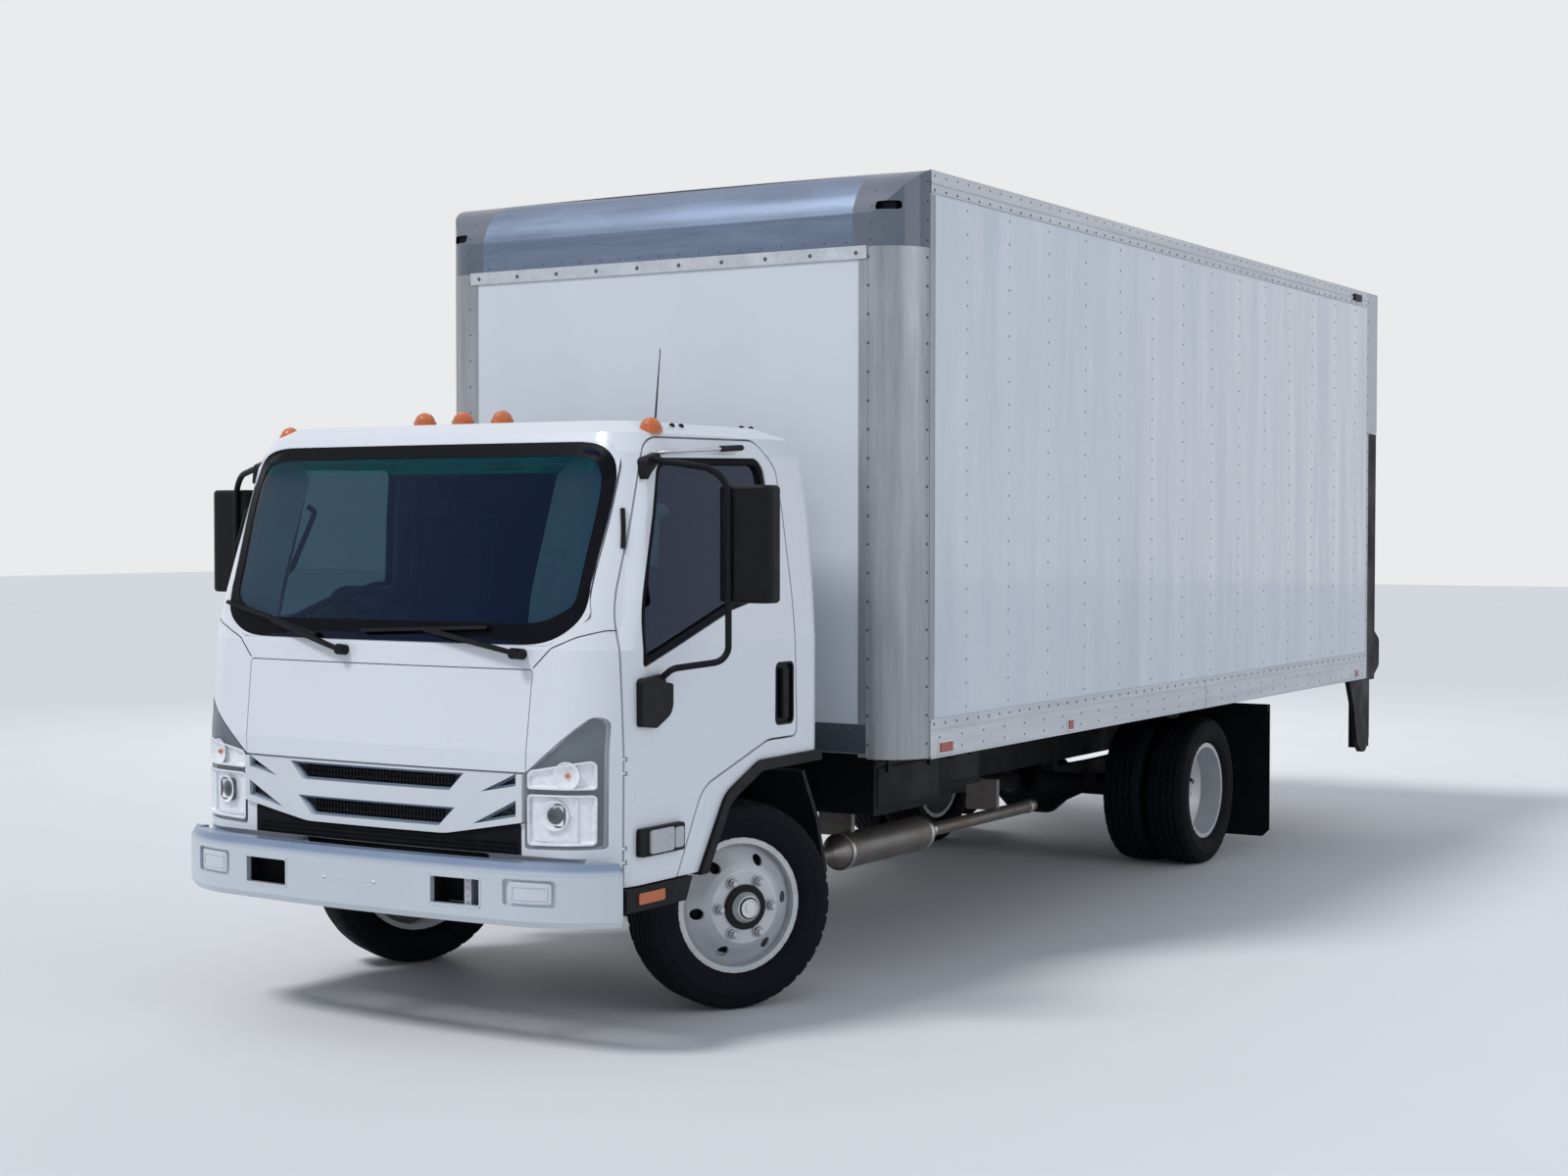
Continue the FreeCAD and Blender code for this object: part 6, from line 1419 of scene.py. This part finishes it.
def rail_trims():
    """Lips and a joint on the rails, the side markers' frames, and dark lamps on the rails and in the caps."""
    lips, frames, lamps = (bmesh.new() for index in range(3))
    for side, sign in SIDES:
        for z_low, z_high, out, y_low, y_high in RAIL_LIPS:
            add_box(lips, (sign * (RAIL_X - 0.003), y_low, z_low),
                    (sign * (RAIL_X + out), y_high, z_high), 0.0015, 1)
        for y, half in MARKERS:
            add_box(frames, (sign * (RAIL_X - 0.003), y - half, 0.905),
                    (sign * (RAIL_X + 0.0045), y + half, 0.965), 0.003)
        add_box(lamps, (sign * (RAIL_X - 0.004), BODY_REAR - 0.30, BODY_TOP - 0.072),
                (sign * (RAIL_X + 0.012), BODY_REAR - 0.16, BODY_TOP - 0.030), 0.006)
        add_box(lamps, (sign * (SIDE_X - 0.085), BODY_FRONT + 0.045, NOSE_FOOT + 0.130),
                (sign * (SIDE_X - 0.185), BODY_FRONT + 0.075, NOSE_FOOT + 0.200), 0.004)
    piece("rail_trims", lips, "root", RAIL_METAL, None)
    piece("marker_frames", frames, "root", BRIGHT, None)
    piece("top_lamps", lamps, "root", BLACK, None)


def skirt_plate():
    """Dark plate across the foot of the van body's front wall, and flanges beside its corner posts."""
    y = BODY_FRONT
    bm = bmesh.new()
    add_box(bm, (-FLAT_HALF + 0.002, y - 0.003, RAIL_LOW + 0.028),
            (FLAT_HALF - 0.002, y + 0.002, 1.042), 0.001, 1)
    for x in span(-0.95, 0.95, 0.19):
        for z in (1.02, 0.95):
            add_dome(bm, Vector((x, y - 0.003, z)), -BACK, 0.007, 0.004)
    piece("front_skirt", bm, "root", SKIRT, None)
    bm = bmesh.new()
    for side, sign in SIDES:
        add_box(bm, (sign * (FLAT_HALF - 0.040), y - 0.0022, RAIL_LOW + 0.012),
                (sign * (FLAT_HALF + 0.004), y + 0.001, NOSE_FOOT - 0.052), 0.001, 1)
        add_box(bm, (sign * (SIDE_X - 0.001), WALL_FRONT - 0.004, RAIL_LOW + 0.165),
                (sign * (SIDE_X + 0.0022), WALL_FRONT + 0.042, BODY_TOP - 0.1), 0.001, 1)
    piece("post_flanges", bm, "root", POSTS_METAL, None)


DOOR_PANELS = 5
HINGE_XS = (-0.95, -0.48, 0, 0.48, 0.95)


def rear_hardware():
    """Hinges and lock of the roll-up door, and round tail lamps."""
    low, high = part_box("box_rear_door")
    y = high.y
    bm = bmesh.new()
    for index in range(1, DOOR_PANELS):
        z = low.z + (high.z - low.z) / DOOR_PANELS * index
        for x in HINGE_XS:
            add_box(bm, (x - 0.045, y - 0.001, z - 0.05), (x + 0.045, y + 0.005, z + 0.05), 0.002)
            add_box(bm, (x - 0.040, y + 0.002, z - 0.008), (x + 0.040, y + 0.014, z + 0.008), 0.004)
    add_box(bm, (-0.09, y, low.z + 0.05), (0.09, y + 0.012, low.z + 0.26), 0.004)
    add_box(bm, (-0.02, y + 0.008, low.z + 0.08), (0.02, y + 0.040, low.z + 0.23), 0.008)
    piece("door_hardware", bm, "root", BRIGHT)
    tail_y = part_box("box_lamps")[1].y
    bm = bmesh.new()
    for side, sign in SIDES:
        for x in (0.69, 0.83):
            lathe([(0.0, 0.016), (0.026, 0.013), (0.038, 0.006), (0.040, 0.0)], 24,
                  frame_at((sign * x, tail_y - 0.004, 0.965), BACK), bm)
    piece("tail_lenses", bm, "root", RED)


# Wheels

TYRE_RADIUS = 0.400
TYRE_HALF = 0.113
GROOVES = (-0.055, -0.019, 0.019, 0.055)
GROOVE_HALF = 0.0042
GROOVE_DEPTH = 0.011
RIB_HALF = 0.018
TREAD_STEPS = 216
ZIGZAG = 0.0032
NOTCH = 0.0075
# One sidewall from the bead outwards and the shoulder beside it, (distance across, radius)
SIDEWALL = ((-0.074, 0.249), (-0.080, 0.262), (-0.096, 0.272), (-0.1085, 0.292), (-0.1125, 0.318),
            (-0.1125, 0.334), (-0.1140, 0.337), (-0.1140, 0.343), (-0.1115, 0.346), (-0.1085, 0.366),
            (-0.1050, 0.378), (-0.1020, 0.3845), (-0.094, 0.3915), (-0.080, 0.3965))
WHEEL_AXES = {joint["child"]: Vector(joint["axis"]) for joint in frame["record"]["behaviour"]["joints"]
              if joint["name"].endswith("_spin")}
QUARTER = Matrix.Rotation(math.pi / 2, 4, "Y")


def tread_profile():
    """(distance across, radius, how far the point follows the zigzag) from one bead to the other."""
    floor = TYRE_RADIUS - GROOVE_DEPTH - 0.001
    crown = []
    for groove in GROOVES:
        crown += [(groove - GROOVE_HALF - 0.001, TYRE_RADIUS, 1.0), (groove - GROOVE_HALF, floor, 1.0),
                  (groove + GROOVE_HALF, floor, 1.0), (groove + GROOVE_HALF + 0.001, TYRE_RADIUS, 1.0),
                  (groove + RIB_HALF, TYRE_RADIUS, 0.0)]
    return [(x, r, 0.0) for x, r in SIDEWALL] + crown[:-1] + [(-x, r, 0.0) for x, r in reversed(SIDEWALL)]


def add_tyre(bm, matrix):
    """A road tyre about its own X axis: zigzag grooves, notched shoulders and raised sidewall rings."""
    profile = tread_profile()
    rows = []
    for step, (up, along) in enumerate(circle(TREAD_STEPS)):
        zigzag = ZIGZAG if step % 8 < 4 else -ZIGZAG
        notch = NOTCH if step % 6 == 0 else 0.0
        row = []
        for x, radius, follow in profile:
            if 0.078 < abs(x) < 0.106:
                radius -= notch
            row.append(bm.verts.new(matrix @ Vector((x + zigzag * follow, radius * up, radius * along))))
        rows.append(row)
    for near, far in zip(rows, rows[1:] + rows[:1]):
        join_rings(bm, near, far)


def wheel_frame(node, body, offset=0.0):
    """A matrix whose X is the wheel's axis, at the middle of a node."""
    axis = WHEEL_AXES[body].normalized()
    side = UP.cross(axis).normalized()
    turn = Matrix((axis, side, axis.cross(side))).transposed().to_4x4()
    return Matrix.Translation(middle(node) + axis * offset) @ turn


def tyres():
    for side, sign in SIDES:
        low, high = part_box(f"tyres_rear_{side}")
        shift = (high.x - low.x) / 2 - TYRE_HALF
        for name, node, body, offsets in (
                (f"tyre_tread_front_{side}", f"tyre_front_{side}", f"wheel_front_{side}", (0.0,)),
                (f"tyre_tread_rear_{side}", f"tyres_rear_{side}", f"wheels_rear_{side}", (-shift, shift))):
            bm = bmesh.new()
            for offset in offsets:
                add_tyre(bm, wheel_frame(node, body, offset))
            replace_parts(piece(name, bm, body, TYRE, 40), node)


NUT_CIRCLE = 0.111125
# Body, node, the disc's face from the tyre's middle, the hub's shoulder and tip from that face, its radius
HUBS = (("wheel_front", "tyre_front", 0.127, 0.012, 0.040, 0.047),
        ("wheels_rear", "tyres_rear", 0.010, 0.080, 0.104, 0.057))
DRUM = ((0.190, 0.010), (0.190, 0.055), (0.180, 0.065), (0.100, 0.065), (0.100, 0.060), (0.176, 0.060),
        (0.184, 0.052), (0.184, 0.010), (0.190, 0.010))


def outward(node, body, sign):
    """A wheel's frame with its X pointing out of the truck."""
    turn = wheel_frame(node, body)
    return turn @ Matrix.Rotation(math.pi, 4, "Z") if sign < 0 else turn


def hubs():
    """Black hubs with silver caps, nuts on washers, and a brake drum behind each front wheel."""
    for side, sign in SIDES:
        for body, node, face, shoulder, tip, radius in HUBS:
            body = f"{body}_{side}"
            turn = outward(f"{node}_{side}", body, sign)
            shoulder, tip = face + shoulder, face + tip
            hub = [(0.086, face), (0.086, shoulder - 0.002), (0.083, shoulder + 0.0015),
                   (radius, shoulder + 0.0015), (radius, tip - 0.006), (radius - 0.006, tip + 0.0015),
                   (radius - 0.011, tip + 0.0015)]
            piece(f"hub_{body}", lathe(hub, 40, turn @ QUARTER), body, HUB)
            cap = [(radius - 0.010, tip), (radius - 0.011, tip + 0.005), (radius - 0.017, tip + 0.005),
                   (radius - 0.018, tip + 0.002), (radius - 0.029, tip + 0.002),
                   (radius - 0.030, tip + 0.006), (0.0, tip + 0.0065)]
            piece(f"hub_cap_{body}", lathe(cap, 32, turn @ QUARTER), body, BRIGHT)
            bm = bmesh.new()
            for up, along in circle(6):
                at = turn @ Matrix.Translation((face, NUT_CIRCLE * up, NUT_CIRCLE * along)) @ QUARTER
                lathe([(0.0175, 0.0), (0.0240, 0.0), (0.0235, 0.005), (0.0175, 0.006)], 20, at, bm)
                lathe([(0.0172, 0.004), (0.0172, 0.0205), (0.0140, 0.0225), (0.0092, 0.0225)], 6, at, bm)
            piece(f"wheel_nuts_{body}", bm, body, NUT, None)
        turn = outward(f"tyre_front_{side}", f"wheel_front_{side}", sign)
        piece(f"brake_drum_{side}", lathe(DRUM, 40, turn @ QUARTER), f"wheel_front_{side}", CHASSIS)


for build in (dress_nodes, camera, backdrop, lights, windscreen, window_seals, door_handles,
              mirror_glasses, headlamps, side_lamps, pillar_strips, antenna, grille_trim, lower_intake,
              cowl_seams, bumper_trim, mirror_stays, steering_grip, dashboard, linings, chassis_trim,
              lift_trim, seats, wall_rivets, header_rivets, rail_trims, skirt_plate, rear_hardware,
              tyres, hubs):
    build()

bpy.context.scene.view_settings.view_transform = "Standard"
